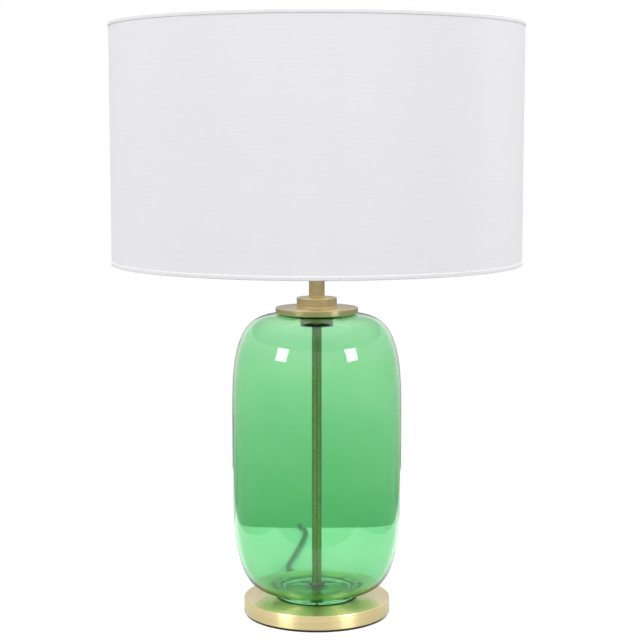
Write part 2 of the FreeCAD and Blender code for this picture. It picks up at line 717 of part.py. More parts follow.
def make_switch_shells():
    inner_length = 2 * (SWITCH_HALF - SWITCH_WALL - 1)
    inner_width = SWITCH_WIDE - 2 * SWITCH_WALL
    lower = switch_hull(0, SWITCH_SPLIT)
    lower = lower.cut(switch_block(inner_length, inner_width, SWITCH_WALL, SWITCH_SPLIT + 1))
    upper = switch_hull(SWITCH_SPLIT, SWITCH_TALL)
    rim = [edge for edge in upper.Edges if min(v.Z for v in edge.Vertexes) > SWITCH_TALL - 0.1]
    upper = upper.makeFillet(1.5, rim)
    upper = upper.cut(switch_block(inner_length, inner_width, SWITCH_SPLIT - 1,
                                   SWITCH_TALL - SWITCH_WALL))
    window = switch_block(2 * ROCKER_REACH + 1, ROCKER_WIDE + 0.8, SWITCH_TALL - 3, SWITCH_TALL + 1)
    upper = upper.cut(window)
    for x, y in SCREW_PLACES:
        lower = lower.cut(switch_rod(x, y, -1, SWITCH_WALL + 1, 1.5))
        lower = lower.cut(switch_rod(x, y, -1, 1.3, 2.7))
        boss = switch_rod(x, y, SWITCH_WALL + 0.1, SWITCH_TALL - SWITCH_WALL, 2.8)
        upper = upper.fuse(boss).cut(switch_rod(x, y, SWITCH_WALL, 10.5, 1.4))
    from_shape("switch_lower", lower.cut(cord_hole()))
    from_shape("switch_upper", upper.cut(cord_hole()))


def make_switch_rocker():
    """Rocker with round ends about its pivot, dished on top, and its pivot pin."""
    half = ROCKER_WIDE / 2
    start = Vector(SWITCH_X - half, SWITCH_MIDDLE, ROCKER_PIVOT)
    drum = Part.makeCylinder(ROCKER_REACH, ROCKER_WIDE, start, Vector(1, 0, 0))
    rocker = drum.common(switch_block(40, ROCKER_WIDE, ROCKER_PIVOT - 2.6, SWITCH_TALL + 1.6))
    dish = Part.makeCylinder(40, ROCKER_WIDE, start + Vector(0, 0, 40 + SWITCH_TALL - ROCKER_PIVOT
                                                             + 0.2), Vector(1, 0, 0))
    pin = start - Vector(1, 0, 0)
    rocker = rocker.cut(dish).cut(Part.makeCylinder(PIVOT_RADIUS + 0.05, ROCKER_WIDE + 2, pin,
                                                    Vector(1, 0, 0)))
    from_shape("switch_rocker", rocker)
    reach = SWITCH_WIDE / 2 - SWITCH_WALL
    end = Vector(SWITCH_X - reach, SWITCH_MIDDLE, ROCKER_PIVOT)
    from_shape("switch_pivot", Part.makeCylinder(PIVOT_RADIUS, 2 * reach, end, Vector(1, 0, 0)))


def make_switch_insides():
    """Two screws from below and the two contact strips."""
    screws = []
    for x, y in SCREW_PLACES:
        head = switch_rod(x, y, 0.2, 1.3, 2.6)
        screws.append(head.fuse(switch_rod(x, y, 1.3, 10, 1.3)).removeSplitter())
    from_shape("switch_screws", Part.makeCompound(screws))
    strips = []
    for side in (-1, 1):
        corner = Vector(SWITCH_X - 2, SWITCH_MIDDLE + side * 12 - 7, 5.6)
        strips.append(Part.makeBox(4, 14, 0.8, corner))
    from_shape("switch_contacts", Part.makeCompound(strips))


# ---------------------------------------------------------------- mains plug
PIN_SPACING = 18.6
PIN_RADIUS = 2.0
SLEEVE_LENGTH = 9.0
PIN_LENGTH = 19.0
PLUG_FACE = PLUG_BACK - PLUG_LENGTH


def plug_section(body, name, width, height, corner, along):
    """A rectangle with cut corners across the plug, at a distance behind its face."""
    sketch = sketch_on(body, "XZ_Plane", name)
    sketch.AttachmentOffset = FreeCAD.Placement(Vector(0, 0, -along), FreeCAD.Rotation())
    x, z = width / 2, height / 2
    quarter = [(x, z - corner), (x - corner, z)]
    places = quarter + [(-x, z) for x, z in quarter[::-1]]
    places += [(-x, -z) for x, z in places]
    draw_outline(sketch, [(signed(x), signed(z)) for x, z in places])
    return sketch


def make_plug():
    """Two-pin flat plug: a tapered moulded body, two pins and their sleeves."""
    body = doc.addObject("PartDesign::Body", "plug_block")
    face = plug_section(body, "plug_face", 26.4, 13.4, 3.0, 0)
    back = plug_section(body, "plug_back", 12.0, 9.6, 2.6, PLUG_LENGTH)
    loft = body.newObject("PartDesign::AdditiveLoft", "plug_loft")
    loft.Profile = face
    loft.Sections = [back]
    loft.Ruled = True
    doc.recompute()
    body.Placement = at(PLUG_X, PLUG_FACE, PLUG_HEIGHT)
    keep(body, "plug_body")
    ahead = Vector(0, -1, 0)
    pins = []
    sleeves = []
    for side in (-1, 1):
        root = Vector(PLUG_X + side * PIN_SPACING / 2, PLUG_FACE, PLUG_HEIGHT)
        core = Part.makeCylinder(PIN_RADIUS - 0.4, PIN_LENGTH - 2, root, ahead)
        tip_root = root + ahead * SLEEVE_LENGTH
        tip = Part.makeCylinder(PIN_RADIUS, PIN_LENGTH - SLEEVE_LENGTH - 1, tip_root, ahead)
        end = Part.makeCone(PIN_RADIUS, PIN_RADIUS - 1, 1, root + ahead * (PIN_LENGTH - 1), ahead)
        pins.append(core.fuse([tip, end]).removeSplitter())
        outside = Part.makeCylinder(PIN_RADIUS - 0.05, SLEEVE_LENGTH - 0.05, root, ahead)
        hollow = Part.makeCylinder(PIN_RADIUS - 0.4, SLEEVE_LENGTH, root, ahead)
        sleeves.append(outside.cut(hollow))
    from_shape("plug_pins", Part.makeCompound(pins))
    from_shape("plug_sleeves", Part.makeCompound(sleeves))


# ---------------------------------------------------------------- build, check and write
def build():
    fill_sheet()
    make_base_pad()
    make_base_weight()
    make_base_cover()
    make_cord_relief()
    make_stem_tube()
    make_stem_fastenings()
    make_glass_body()
    make_glass_fittings()
    make_cap_disc()
    make_collar()
    make_neck_tube()
    make_holder_cap()
    make_holder_shell()
    make_holder_inside()
    make_clamp_ring()
    make_shade_skins()
    make_shade_wires()
    make_bulb()
    make_inner_wires()
    make_cord()
    make_switch_shells()
    make_switch_rocker()
    make_switch_insides()
    make_plug()
    doc.recompute()


def check():
    """Stop if any object failed, or any sub-part's shape is missing or not valid."""
    for thing in doc.Objects:
        if "Invalid" in thing.State or "Error" in thing.State:
            raise RuntimeError("%s failed: %s" % (thing.Label, thing.State))
    for thing in sub_parts:
        if thing.Shape.isNull() or not thing.Shape.isValid() or not thing.Shape.Solids:
            raise RuntimeError("%s has no valid shape" % thing.Label)


def write():
    os.makedirs("parts", exist_ok=True)
    for thing in sub_parts:
        thing.Shape.exportStep("parts/%s.step" % thing.Label)
    print("wrote %d sub-parts" % len(sub_parts))


build()
check()
write()
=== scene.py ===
"""Looks of the table lamp: green glass bottle on a brass foot, under a white linen drum shade."""
import json
import math

import bmesh
import bpy
from mathutils import Matrix, Vector, noise


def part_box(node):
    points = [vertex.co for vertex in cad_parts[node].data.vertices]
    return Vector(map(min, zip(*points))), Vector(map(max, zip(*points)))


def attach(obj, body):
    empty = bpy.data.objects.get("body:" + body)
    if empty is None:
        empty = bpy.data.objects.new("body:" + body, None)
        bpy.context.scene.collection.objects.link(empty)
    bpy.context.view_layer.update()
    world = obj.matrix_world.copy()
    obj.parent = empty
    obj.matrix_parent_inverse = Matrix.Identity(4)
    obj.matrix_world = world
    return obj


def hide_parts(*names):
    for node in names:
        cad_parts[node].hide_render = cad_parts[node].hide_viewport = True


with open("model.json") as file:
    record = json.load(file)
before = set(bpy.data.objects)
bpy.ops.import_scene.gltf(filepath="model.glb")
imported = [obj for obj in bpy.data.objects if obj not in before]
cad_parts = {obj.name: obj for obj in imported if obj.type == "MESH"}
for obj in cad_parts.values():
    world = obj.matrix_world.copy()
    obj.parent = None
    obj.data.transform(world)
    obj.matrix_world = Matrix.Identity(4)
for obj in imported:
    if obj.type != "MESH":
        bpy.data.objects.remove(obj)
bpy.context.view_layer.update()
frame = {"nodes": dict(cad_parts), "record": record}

MM = 0.001

# ------------------------------------------------------------------ camera
CAMERA_DISTANCE = 1.629                # in front of the lamp's stem
CAMERA_HEIGHT = 0.4902
CAMERA_PITCH = math.radians(6.53)      # looking down
CAMERA_LENS = 90.8
CAMERA_SHIFT = 0.005


def make_camera():
    """The photograph's viewpoint: level with the neck, looking slightly down."""
    data = bpy.data.cameras.new("camera")
    data.sensor_width = 36
    data.lens = CAMERA_LENS
    data.shift_x = CAMERA_SHIFT
    camera = bpy.data.objects.new("camera", data)
    camera.location = (0, -CAMERA_DISTANCE, CAMERA_HEIGHT)
    camera.rotation_euler = (math.pi / 2 - CAMERA_PITCH, 0, 0)
    bpy.context.collection.objects.link(camera)
    bpy.context.scene.camera = camera


# ------------------------------------------------------------------ material graphs
class Graph:
    """A material, with short ways to add and join its nodes."""

    def __init__(self, name):
        self.material = bpy.data.materials.new(name)
        self.material.use_nodes = True
        self.tree = self.material.node_tree
        self.tree.nodes.clear()
        self.output = self.add("OutputMaterial")

    def set(self, node, inputs):
        for name, value in inputs.items():
            if isinstance(value, bpy.types.NodeSocket):
                self.tree.links.new(value, node.inputs[name])
            else:
                node.inputs[name].default_value = value

    def add(self, kind, inputs=None, **settings):
        node = self.tree.nodes.new("ShaderNode" + kind)
        for name, value in settings.items():
            setattr(node, name, value)
        self.set(node, inputs or {})
        return node

    def math(self, operation, first, second=0.0):
        node = self.add("Math", {0: first, 1: second}, operation=operation)
        return node.outputs[0]

    def place(self):
        """The surface's place in the lamp's own frame, in metres."""
        return self.add("TexCoord").outputs["Object"]

    def turned_place(self, across, around):
        """Radius and height scaled by across, and the angle about Z scaled by around."""
        parts = self.add("SeparateXYZ", {0: self.place()})
        x, y, z = parts.outputs
        radius = self.math("SQRT", self.math("ADD", self.math("MULTIPLY", x, x),
                                             self.math("MULTIPLY", y, y)))
        angle = self.math("ARCTAN2", y, x)
        joined = self.add("CombineXYZ", {0: self.math("MULTIPLY", radius, across),
                                         1: self.math("MULTIPLY", angle, around),
                                         2: self.math("MULTIPLY", z, across)})
        return joined.outputs[0]

    def noise(self, vector, scale, detail=3.0, roughness=0.5):
        node = self.add("TexNoise", {"Vector": vector, "Scale": scale, "Detail": detail,
                                     "Roughness": roughness})
        return node.outputs["Fac"]

    def between(self, value, low, high, start=0.0, end=1.0):
        """A value carried from start..end to low..high."""
        node = self.add("MapRange", {"Value": value, "From Min": start, "From Max": end,
                                     "To Min": low, "To Max": high})
        return node.outputs["Result"]

    def tint(self, value, low, high):
        """A colour between two, by a value from 0 to 1."""
        node = self.add("Mix", {0: value, 6: (*low, 1), 7: (*high, 1)}, data_type="RGBA")
        return node.outputs[2]

    def bump(self, height, strength, distance):
        node = self.add("Bump", {"Height": height, "Strength": strength, "Distance": distance})
        return node.outputs["Normal"]

    def principled(self, **inputs):
        """A Principled shader on the output; input names have _ for a space."""
        shader = self.add("BsdfPrincipled", {k.replace("_", " "): v for k, v in inputs.items()})
        self.set(self.output, {"Surface": shader.outputs[0]})
        return shader


def clear_to_lamps(graph, shader, tint):
    """Let light from lamps through a clear piece, tinted, so that it lights what is behind."""
    path = graph.add("LightPath")
    window = graph.add("BsdfTransparent", {"Color": (*tint, 1)})
    mix = graph.add("MixShader", {0: path.outputs["Is Shadow Ray"], 1: shader.outputs[0],
                                  2: window.outputs[0]})
    graph.set(graph.output, {"Surface": mix.outputs[0]})


# ------------------------------------------------------------------ materials
def brushed_brass(name, low, high):
    """Lacquered satin brass, brushed on a lathe: fine grooves run round the axis."""
    g = Graph(name)
    fine = g.noise(g.turned_place(5200.0, 1.6), 1.0, 4.0, 0.7)
    broad = g.noise(g.turned_place(420.0, 0.7), 1.0, 2.0)
    cloud = g.noise(g.place(), 26.0, 3.0)
    colour = g.tint(g.between(broad, 0.0, 1.0, 0.35, 0.65), low, high)
    rough = g.math("ADD", g.between(fine, 0.30, 0.42, 0.3, 0.7), g.between(cloud, -0.03, 0.03))
    tangent = g.add("Tangent", direction_type="RADIAL", axis="Z")
    g.principled(Base_Color=colour, Metallic=1.0, Roughness=rough, Anisotropic=0.92,
                 Anisotropic_Rotation=0.25, Tangent=tangent.outputs[0], Coat_Weight=0.6,
                 Coat_Roughness=0.08, Normal=g.bump(fine, 0.10, 0.00012))
    return g.material


def green_glass():
    """Blown soda glass with a transparent green colour, and the slight waves of blowing."""
    g = Graph("green_glass")
    waves = g.noise(g.place(), 14.0, 2.0)
    seeds = g.noise(g.place(), 420.0, 1.0)
    tint = g.tint(g.between(waves, 0.0, 1.0, 0.3, 0.7), (0.40, 0.80, 0.50), (0.46, 0.84, 0.54))
    height = g.math("ADD", g.math("MULTIPLY", waves, 1.0), g.math("MULTIPLY", seeds, 0.02))
    shader = g.principled(Base_Color=tint, Roughness=0.0, IOR=1.5, Transmission_Weight=1.0,
                          Normal=g.bump(height, 0.06, 0.002))
    clear_to_lamps(g, shader, (0.62, 0.90, 0.68))
    return g.material


def linen():
    """Fine white linen, laminated: crossed threads with slubs, and a soft sheen."""
    g = Graph("white_linen")
    warp = g.noise(g.turned_place(90.0, 620.0), 1.0, 3.0, 0.6)
    weft = g.noise(g.turned_place(1900.0, 7.0), 1.0, 3.0, 0.6)
    threads_up = g.add("TexWave", {"Vector": g.turned_place(1.0, 0.206), "Scale": 560.0,
                                   "Distortion": 1.5, "Detail": 1.0}, bands_direction="Y")
    threads_round = g.add("TexWave", {"Vector": g.turned_place(1.0, 0.206), "Scale": 560.0,
                                      "Distortion": 1.5, "Detail": 1.0}, bands_direction="Z")
    weave = g.math("MAXIMUM", threads_up.outputs["Fac"], threads_round.outputs["Fac"])
    slubs = g.math("ADD", g.math("MULTIPLY", warp, 0.6), g.math("MULTIPLY", weft, 0.6))
    colour = g.tint(g.between(slubs, 0.0, 1.0, 0.42, 0.78), (0.80, 0.79, 0.805),
                    (0.845, 0.835, 0.85))
    height = g.math("ADD", g.math("MULTIPLY", weave, 0.5), slubs)
    g.principled(Base_Color=colour, Roughness=0.82, Sheen_Weight=0.25, Sheen_Roughness=0.5,
                 Specular_IOR_Level=0.25, Normal=g.bump(height, 0.22, 0.0004))
    return g.material


def plain(name, low, high, scale, roughness, spread, strength, **more):
    """A solid material whose colour, roughness and surface vary with one noise."""
    g = Graph(name)
    grain = g.noise(g.place(), scale, 4.0, 0.6)
    g.principled(Base_Color=g.tint(grain, low, high),
                 Roughness=g.between(grain, roughness - spread, roughness + spread),
                 Normal=g.bump(grain, strength, 0.0005), **more)
    return g.material


def clear_plastic(name, tint, roughness, lamps):
    """Soft clear plastic, slightly cloudy, with moulding marks."""
    g = Graph(name)
    haze = g.noise(g.place(), 160.0, 3.0)
    rough = g.between(haze, roughness * 0.6, roughness * 1.4)
    shader = g.principled(Base_Color=g.tint(haze, tint, tuple(min(1, c * 1.04) for c in tint)),
                          Roughness=rough, IOR=1.45, Transmission_Weight=1.0,
                          Normal=g.bump(haze, 0.04, 0.0004))
    clear_to_lamps(g, shader, lamps)
    return g.material


def make_materials():
    """Every material, by its slot in the record."""
    return {
        "brass": brushed_brass("brushed_brass", (0.74, 0.600, 0.290), (0.80, 0.665, 0.350)),
        # A dark copy of the brushed brass, for the stem and its nut inside the bottle: painted shade,
        # standing for the dark room that they reflect.
        "brass_in_painted_shade": brushed_brass("brass_in_painted_shade", (0.24, 0.185, 0.066), (0.31, 0.240, 0.095)),
        "green_glass": green_glass(),
        "linen": linen(),
        "liner": plain("white_styrene", (0.84, 0.83, 0.82), (0.88, 0.87, 0.86), 90, 0.45, 0.08, 0.03),
        "white_wire": plain("white_powder_coat", (0.80, 0.80, 0.79), (0.86, 0.86, 0.85), 900, 0.4,
                            0.08, 0.12),
        "steel": plain("zinc_plate", (0.50, 0.51, 0.53), (0.62, 0.62, 0.62), 380, 0.34, 0.1, 0.08,
                       Metallic=1.0),
        "cast_weight": plain("cast_iron", (0.05, 0.05, 0.052), (0.12, 0.12, 0.12), 700, 0.62, 0.12,
                             0.6, Metallic=0.6),
        "black_foam": plain("black_foam", (0.012, 0.010, 0.008), (0.045, 0.038, 0.032), 1500, 0.88,
                            0.08, 0.8),
        "black_rubber": plain("black_rubber", (0.015, 0.015, 0.014), (0.04, 0.04, 0.038), 500, 0.6,
                              0.1, 0.2),
        "black_plastic": plain("black_phenolic", (0.012, 0.012, 0.013), (0.03, 0.03, 0.03), 600,
                               0.38, 0.1, 0.1),
        "ceramic": plain("glazed_steatite", (0.74, 0.72, 0.68), (0.82, 0.80, 0.77), 200, 0.22, 0.08,
                         0.04, Coat_Weight=0.5),
        "nickel": plain("nickel_plate", (0.66, 0.64, 0.60), (0.76, 0.74, 0.70), 260, 0.2, 0.08,
                        0.04, Metallic=1.0),
        "contact_brass": plain("contact_brass", (0.70, 0.52, 0.22), (0.82, 0.64, 0.30), 420, 0.3,
                               0.1, 0.06, Metallic=1.0),
        "black_glass": plain("black_vitrite", (0.008, 0.008, 0.01), (0.02, 0.02, 0.022), 150, 0.12,
                             0.06, 0.04),
        "filament": plain("led_phosphor", (0.80, 0.50, 0.08), (0.92, 0.66, 0.16), 1400, 0.5, 0.1,
                          0.3),
        "wire_insulation": plain("wire_insulation", (0.16, 0.07, 0.03), (0.24, 0.11, 0.05), 300,
                                 0.4, 0.08, 0.06),
        "cord_core": plain("cord_core", (0.74, 0.75, 0.74), (0.82, 0.83, 0.82), 500, 0.35, 0.06,
                           0.05),
        "clear_pvc": clear_plastic("clear_pvc", (0.93, 0.95, 0.94), 0.06, (0.92, 0.94, 0.93)),
        "clear_plastic": clear_plastic("clear_moulding", (0.90, 0.92, 0.91), 0.22,
                                       (0.86, 0.88, 0.87)),
        # Clear rubber tinted very dark: painted shadow, standing for the dark contact ring under the
        # bottle's foot; the strain relief and the stem's washer share it.
        "clear_rubber": clear_plastic("seal_dark_painted_shadow", (0.16, 0.17, 0.13), 0.3, (0.2, 0.2, 0.18)),
        "bulb_glass": clear_plastic("bulb_glass", (0.98, 0.98, 0.98), 0.01, (0.96, 0.96, 0.96)),
    }


# ------------------------------------------------------------------ mesh makers
def new_piece(name, shape, slot, body, *nodes, look=None, smooth=40):
    """Put a mesh or curve in the scene, on a body, standing for CAD nodes."""
    piece = bpy.data.objects.new(name, shape)
    bpy.context.collection.objects.link(piece)
    if smooth and hasattr(shape, "polygons"):
        shape.shade_smooth()
        shape.set_sharp_from_angle(angle=math.radians(smooth))
    shape.materials.append(materials[look or slot])
    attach(piece, body)
    if nodes:
        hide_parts(*nodes)
    return piece


def rounded(corners, steps=5):
    """An outline from (radius, height, rounding) corners, each corner cut by an arc."""
    points = []
    count = len(corners)
    for i, (across, up, size) in enumerate(corners):
        here = Vector((across, up))
        before = Vector(corners[i - 1][:2])
        after = Vector(corners[(i + 1) % count][:2])
        back = (before - here).normalized()
        ahead = (after - here).normalized()
        half = back.angle(ahead) / 2
        if size <= 0 or half > math.radians(89):
            points.append(here)
            continue
        reach = min(size / math.tan(half), 0.49 * (before - here).length,
                    0.49 * (after - here).length)
        radius = reach * math.tan(half)
        centre = here + (back + ahead).normalized() * (radius / math.sin(half))
        start = here + back * reach - centre
        end = here + ahead * reach - centre
        for step in range(steps + 1):
            way = start.slerp(end, step / steps)
            points.append(centre + way.normalized() * radius)
    return points


def lathe_mesh(name, outline, segments=96, closed=True, wobble=None):
    """A mesh turned about Z from (radius, height) points; wobble moves each vertex."""
    bm = bmesh.new()
    rings = []
    for across, up in outline:
        if across < 1e-7:
            rings.append([bm.verts.new((0, 0, up))])
            continue
        ring = []
        for i in range(segments):
            angle = 2 * math.pi * i / segments
            point = Vector((across * math.cos(angle), across * math.sin(angle), up))
            ring.append(bm.verts.new(wobble(point) if wobble else point))
        rings.append(ring)
    join_row(bm, rings, segments, closed)
    return mesh_from(name, bm)


def mesh_from(name, bm, outward=True):
    """The mesh that bm has built; its faces are turned outward unless they already point so."""
    if outward:
        bmesh.ops.recalc_face_normals(bm, faces=bm.faces)
    mesh = bpy.data.meshes.new(name)
    bm.to_mesh(mesh)
    bm.free()
    return mesh


def join_row(bm, rings, segments, closed=False):
    """Faces from each ring to the next, and from the last to the first if the row is closed."""
    pairs = list(zip(rings, rings[1:]))
    if closed:
        pairs.append((rings[-1], rings[0]))
    for low, high in pairs:
        join_rings(bm, low, high, segments)


def join_rings(bm, low, high, segments):
    """Faces between two rings of vertices, either of which may be a single point."""
    if len(low) == 1 and len(high) == 1:
        return
    for i in range(segments):
        j = (i + 1) % segments
        corners = [low[0]] if len(low) == 1 else [low[i], low[j]]
        corners += [high[0]] if len(high) == 1 else [high[j], high[i]]
        bm.faces.new(corners)


def turned(name, corners, slot, body, *nodes, segments=96, smooth=40, look=None, place=None):
    """A lathe-turned piece from (radius, height, rounding) corners in metres."""
    mesh = lathe_mesh(name, rounded(corners), segments)
    if place:
        mesh.transform(place)
    return new_piece(name, mesh, slot, body, *nodes, smooth=smooth, look=look)


def plain_ring(name, node, slot, bore, edges, body="root", segments=96, look=None):
    """A ring of a CAD node's size; edges rounds its four corners, in mm, from the low bore."""
    radius, bottom, top = extent(node)
    places = ((bore, bottom), (radius, bottom), (radius, top), (bore, top))
    corners = [(across, up, edge * MM) for (across, up), edge in zip(places, edges)]
    turned(name, corners, slot, body, node, segments=segments, look=look)


def tube_mesh(name, points, radius, sides=16, closed=False, ends=True):
    """A round tube along points; radius is a number or a function of the share travelled."""
    bm = bmesh.new()
    size = radius if callable(radius) else (lambda share: radius)
    count = len(points)
    normal = None
    rings = []
    for i, point in enumerate(points):
        before = points[i - 1] if closed or i else points[0]
        after = points[(i + 1) % count] if closed or i < count - 1 else points[-1]
        way = (after - before).normalized()
        if normal is None:
            normal = way.orthogonal().normalized()
        normal = (normal - way * normal.dot(way)).normalized()
        side = way.cross(normal)
        ring = []
        for k in range(sides):
            angle = 2 * math.pi * k / sides
            offset = normal * math.cos(angle) + side * math.sin(angle)
            ring.append(bm.verts.new(point + offset * size(i / (count - 1))))
        rings.append(ring)
    join_row(bm, rings, sides, closed)
    if ends and not closed:
        bm.faces.new(rings[0][::-1])
        bm.faces.new(rings[-1])
    return mesh_from(name, bm)


def joined(name, *shapes):
    """One mesh from several; the parts that go into it are removed."""
    bm = bmesh.new()
    for shape in shapes:
        bm.from_mesh(shape)
        bpy.data.meshes.remove(shape)
    return mesh_from(name, bm, outward=False)


def extent(node):
    """Radius, lowest height and highest height of a CAD node that stands on the lamp's axis."""
    low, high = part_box(node)
    return (high.x - low.x) / 2, low.z, high.z


def threaded(name, radius, bottom, top, depth, pitch, bore, segments=72):
    """A tube with a rolled screw thread outside; each point's ridge follows the helix."""
    steps = max(12, round((top - bottom) / pitch * 8))

    def ridge(point):
        across = math.hypot(point.x, point.y)
        if across < radius - depth - 0.2 * MM or not bottom < point.z < top:
            return point
        turn = math.atan2(point.y, point.x) / (2 * math.pi)
        wave = 0.5 - 0.5 * math.cos(2 * math.pi * ((point.z - bottom) / pitch - turn))
        scale = (radius - depth * wave) / across
        return Vector((point.x * scale, point.y * scale, point.z))

    outline = [(bore, bottom), (radius - depth, bottom)]
    outline += [(radius, bottom + (top - bottom) * i / steps) for i in range(1, steps)]
    outline += [(radius - depth, top), (bore, top)]
    return lathe_mesh(name, outline, segments, wobble=ridge)


# ------------------------------------------------------------------ cord
CORD_TURN = math.radians(18)           # from straight back, towards -X
CORD_OUT = Vector((-math.sin(CORD_TURN), math.cos(CORD_TURN), 0))
RELIEF_START = 0.060
RELIEF_HEIGHT = 0.0072
CORD_RADIUS = 0.0028
REST = 0.00285
SWITCH_X = -0.031
SWITCH_MIDDLE = 0.402
SWITCH_HALF = 0.031
SWITCH_HEIGHT = 0.0065
SWITCH_GRIP = 0.004
COIL_MIDDLE = Vector((0.0061, 0.483, 0))
TURN_POINTS = 16
TURN_SPREAD = 1 / 0.981                # the spline passes this much inside its control points
TURN_SHIFT = 0.2                       # share of each turn in which it moves to the next place
CLIMB_INWARD = 0.0026                  # how far a turn draws in while it climbs a layer
LAYER_TWO = 0.00845
COIL_PLACES = [(0.0371, REST), (0.0315, REST), (0.0259, REST), (0.0259, LAYER_TWO),
               (0.0315, LAYER_TWO), (0.0371, LAYER_TWO), (0.0371, LAYER_TWO)]
PLUG_X = 0.0481
PLUG_BACK = 0.417
PLUG_LENGTH = 0.036
PLUG_HEIGHT = 0.007

LEAD_ROUTE = [
    CORD_OUT * RELIEF_START + Vector((0, 0, RELIEF_HEIGHT)),
    CORD_OUT * 0.099 + Vector((0, 0, RELIEF_HEIGHT - 0.0009)),
    (-0.0336, 0.134, 0.0031), (-0.0295, 0.174, REST), (-0.0254, 0.214, REST),
    (-0.0202, 0.255, REST), (-0.016, 0.294, REST), (-0.0142, 0.328, REST),
    (-0.0245, 0.353, 0.0041),
    (SWITCH_X, SWITCH_MIDDLE - SWITCH_HALF + SWITCH_GRIP, SWITCH_HEIGHT),
]
SWITCH_ROUTE = [                       # inside the switch, under the travel of its rocker
    (SWITCH_X, SWITCH_MIDDLE - 0.017, 0.005), (SWITCH_X, SWITCH_MIDDLE, 0.0045),
    (SWITCH_X, SWITCH_MIDDLE + 0.017, 0.005),
]
TAIL_ROUTE = [
    (SWITCH_X, SWITCH_MIDDLE + SWITCH_HALF - SWITCH_GRIP, SWITCH_HEIGHT),
    (-0.0316, 0.449, 0.0041), (-0.031, 0.469, REST),
]
PLUG_ROUTE = [
    (-0.0313, 0.481, 0.0083), (-0.0325, 0.4992, 0.0065), (-0.0239, 0.5166, 0.0039),
    (-0.0071, 0.526, REST), (0.0124, 0.5276, REST), (0.0306, 0.5207, REST),
    (0.0443, 0.5068, REST), (0.0508, 0.4885, REST), (0.0507, 0.4702, REST),
    (0.0498, 0.452, 0.0042), (0.0487, 0.4345, 0.0058), (PLUG_X, PLUG_BACK, PLUG_HEIGHT),
]


def coil_points():
    """Clockwise turns; each ends by moving to the place of the next turn."""
    points = []
    for near, far in zip(COIL_PLACES, COIL_PLACES[1:]):
        for i in range(TURN_POINTS):
            share = i / TURN_POINTS
            shift = max(0.0, (share - 1 + TURN_SHIFT) / TURN_SHIFT)
            radius = near[0] + (far[0] - near[0]) * shift
            height = near[1] + (far[1] - near[1]) * shift
            if far[1] > near[1]:
                radius -= CLIMB_INWARD * math.sin(math.pi * shift)
            angle = math.pi - 2 * math.pi * share
            way = Vector((math.cos(angle), math.sin(angle), 0))
            points.append(COIL_MIDDLE + way * radius * TURN_SPREAD + Vector((0, 0, height)))
    return points


def make_cord():
    """Clear sheath over two twisted cores: one line from the foot, by the switch, to the plug."""
    curve = bpy.data.curves.new("cord", "CURVE")
    curve.dimensions = "3D"
    curve.resolution_u = 8
    spline = curve.splines.new("NURBS")
    points = [Vector(p) for p in LEAD_ROUTE + SWITCH_ROUTE + TAIL_ROUTE] + coil_points()
    points += [Vector(p) for p in PLUG_ROUTE]
    spline.points.add(len(points) - 1)
    for control, point in zip(spline.points, points):
        control.co = (*point, 1)
        control.radius = CORD_RADIUS
    spline.order_u = 3
    spline.use_endpoint_u = True
    cord = new_piece("cord", curve, "clear_pvc", "root", "cord_lead", "cord_tail", "cord_coil",
                     "cord_plug_lead")
    line = bpy.data.meshes.new_from_object(cord)
    path = [v.co.copy() for v in line.vertices]
    curve.bevel_depth = 1.0            # times each point's own radius
    curve.bevel_resolution = 5
    curve.use_fill_caps = True
    return cord, path


CORE_RADIUS = 0.00098
CORE_OFFSET = 0.0011
CORE_PITCH = 0.034                     # length of one full twist


def core_mesh(name, path, phase):
    """One core, turning round the cord's middle line as it goes."""
    points = []
    travelled = 0.0
    normal = Vector((0, 0, 1))
    for i, point in enumerate(path):
        ahead = path[min(i + 1, len(path) - 1)] - path[max(i - 1, 0)]
        way = ahead.normalized()
        normal = (normal - way * normal.dot(way)).normalized()
        side = way.cross(normal)
        if i:
            travelled += (point - path[i - 1]).length
        angle = 2 * math.pi * travelled / CORE_PITCH + phase
        points.append(point + (normal * math.cos(angle) + side * math.sin(angle)) * CORE_OFFSET)
    return tube_mesh(name, points, CORE_RADIUS, sides=10)


def make_cores(path):
    """The two insulated cores, twisted round each other inside the sheath."""
    cores = []
    for name, phase in (("core_a", 0.0), ("core_b", math.pi)):
        mesh = core_mesh(name, path, phase)
        cores.append(new_piece("cord_" + name, mesh, "clear_pvc", "root", look="cord_core",
                               smooth=60))
    return cores


def make_relief():
    """Ribbed taper where the cord leaves the foot."""
    bore = CORD_RADIUS + 0.1 * MM
    flange = 15.4 * MM
    end = 38 * MM
    corners = [(bore, 0.001, 0), (4.3 * MM, 0.001, 0), (4.3 * MM, flange, 0.1 * MM),
               (5.4 * MM, flange, 0.3 * MM), (5.4 * MM, flange + 2.4 * MM, 0.4 * MM)]
    ribs = 6
    length = end - flange - 3.4 * MM
    for i in range(ribs):
        start = flange + 3.2 * MM + length * i / ribs
        size = 4.9 * MM - 1.25 * MM * i / ribs
        corners += [(size - 0.7 * MM, start, 0.1 * MM), (size, start + 0.4 * MM, 0.25 * MM),
                    (size - 0.1 * MM, start + 2.1 * MM, 0.25 * MM),
                    (size - 0.8 * MM, start + 2.4 * MM, 0.1 * MM)]
    corners += [(bore + 0.3 * MM, end, 0.1 * MM), (bore, end, 0)]
    turn = Vector((0, 0, 1)).rotation_difference(CORD_OUT).to_matrix().to_4x4()
    place = Matrix.Translation(CORD_OUT * RELIEF_START + Vector((0, 0, RELIEF_HEIGHT))) @ turn
    turned("strain_relief", corners, "clear_rubber", "root", "cord_relief", segments=48,
           place=place)


# ------------------------------------------------------------------ foot, stem and bottle
COVER_WALL = 0.0012
PAD_BORE = 0.030
STEM_RADIUS = 0.005
STEM_BORE = 0.004
CLEAR_RADIUS = 0.0053


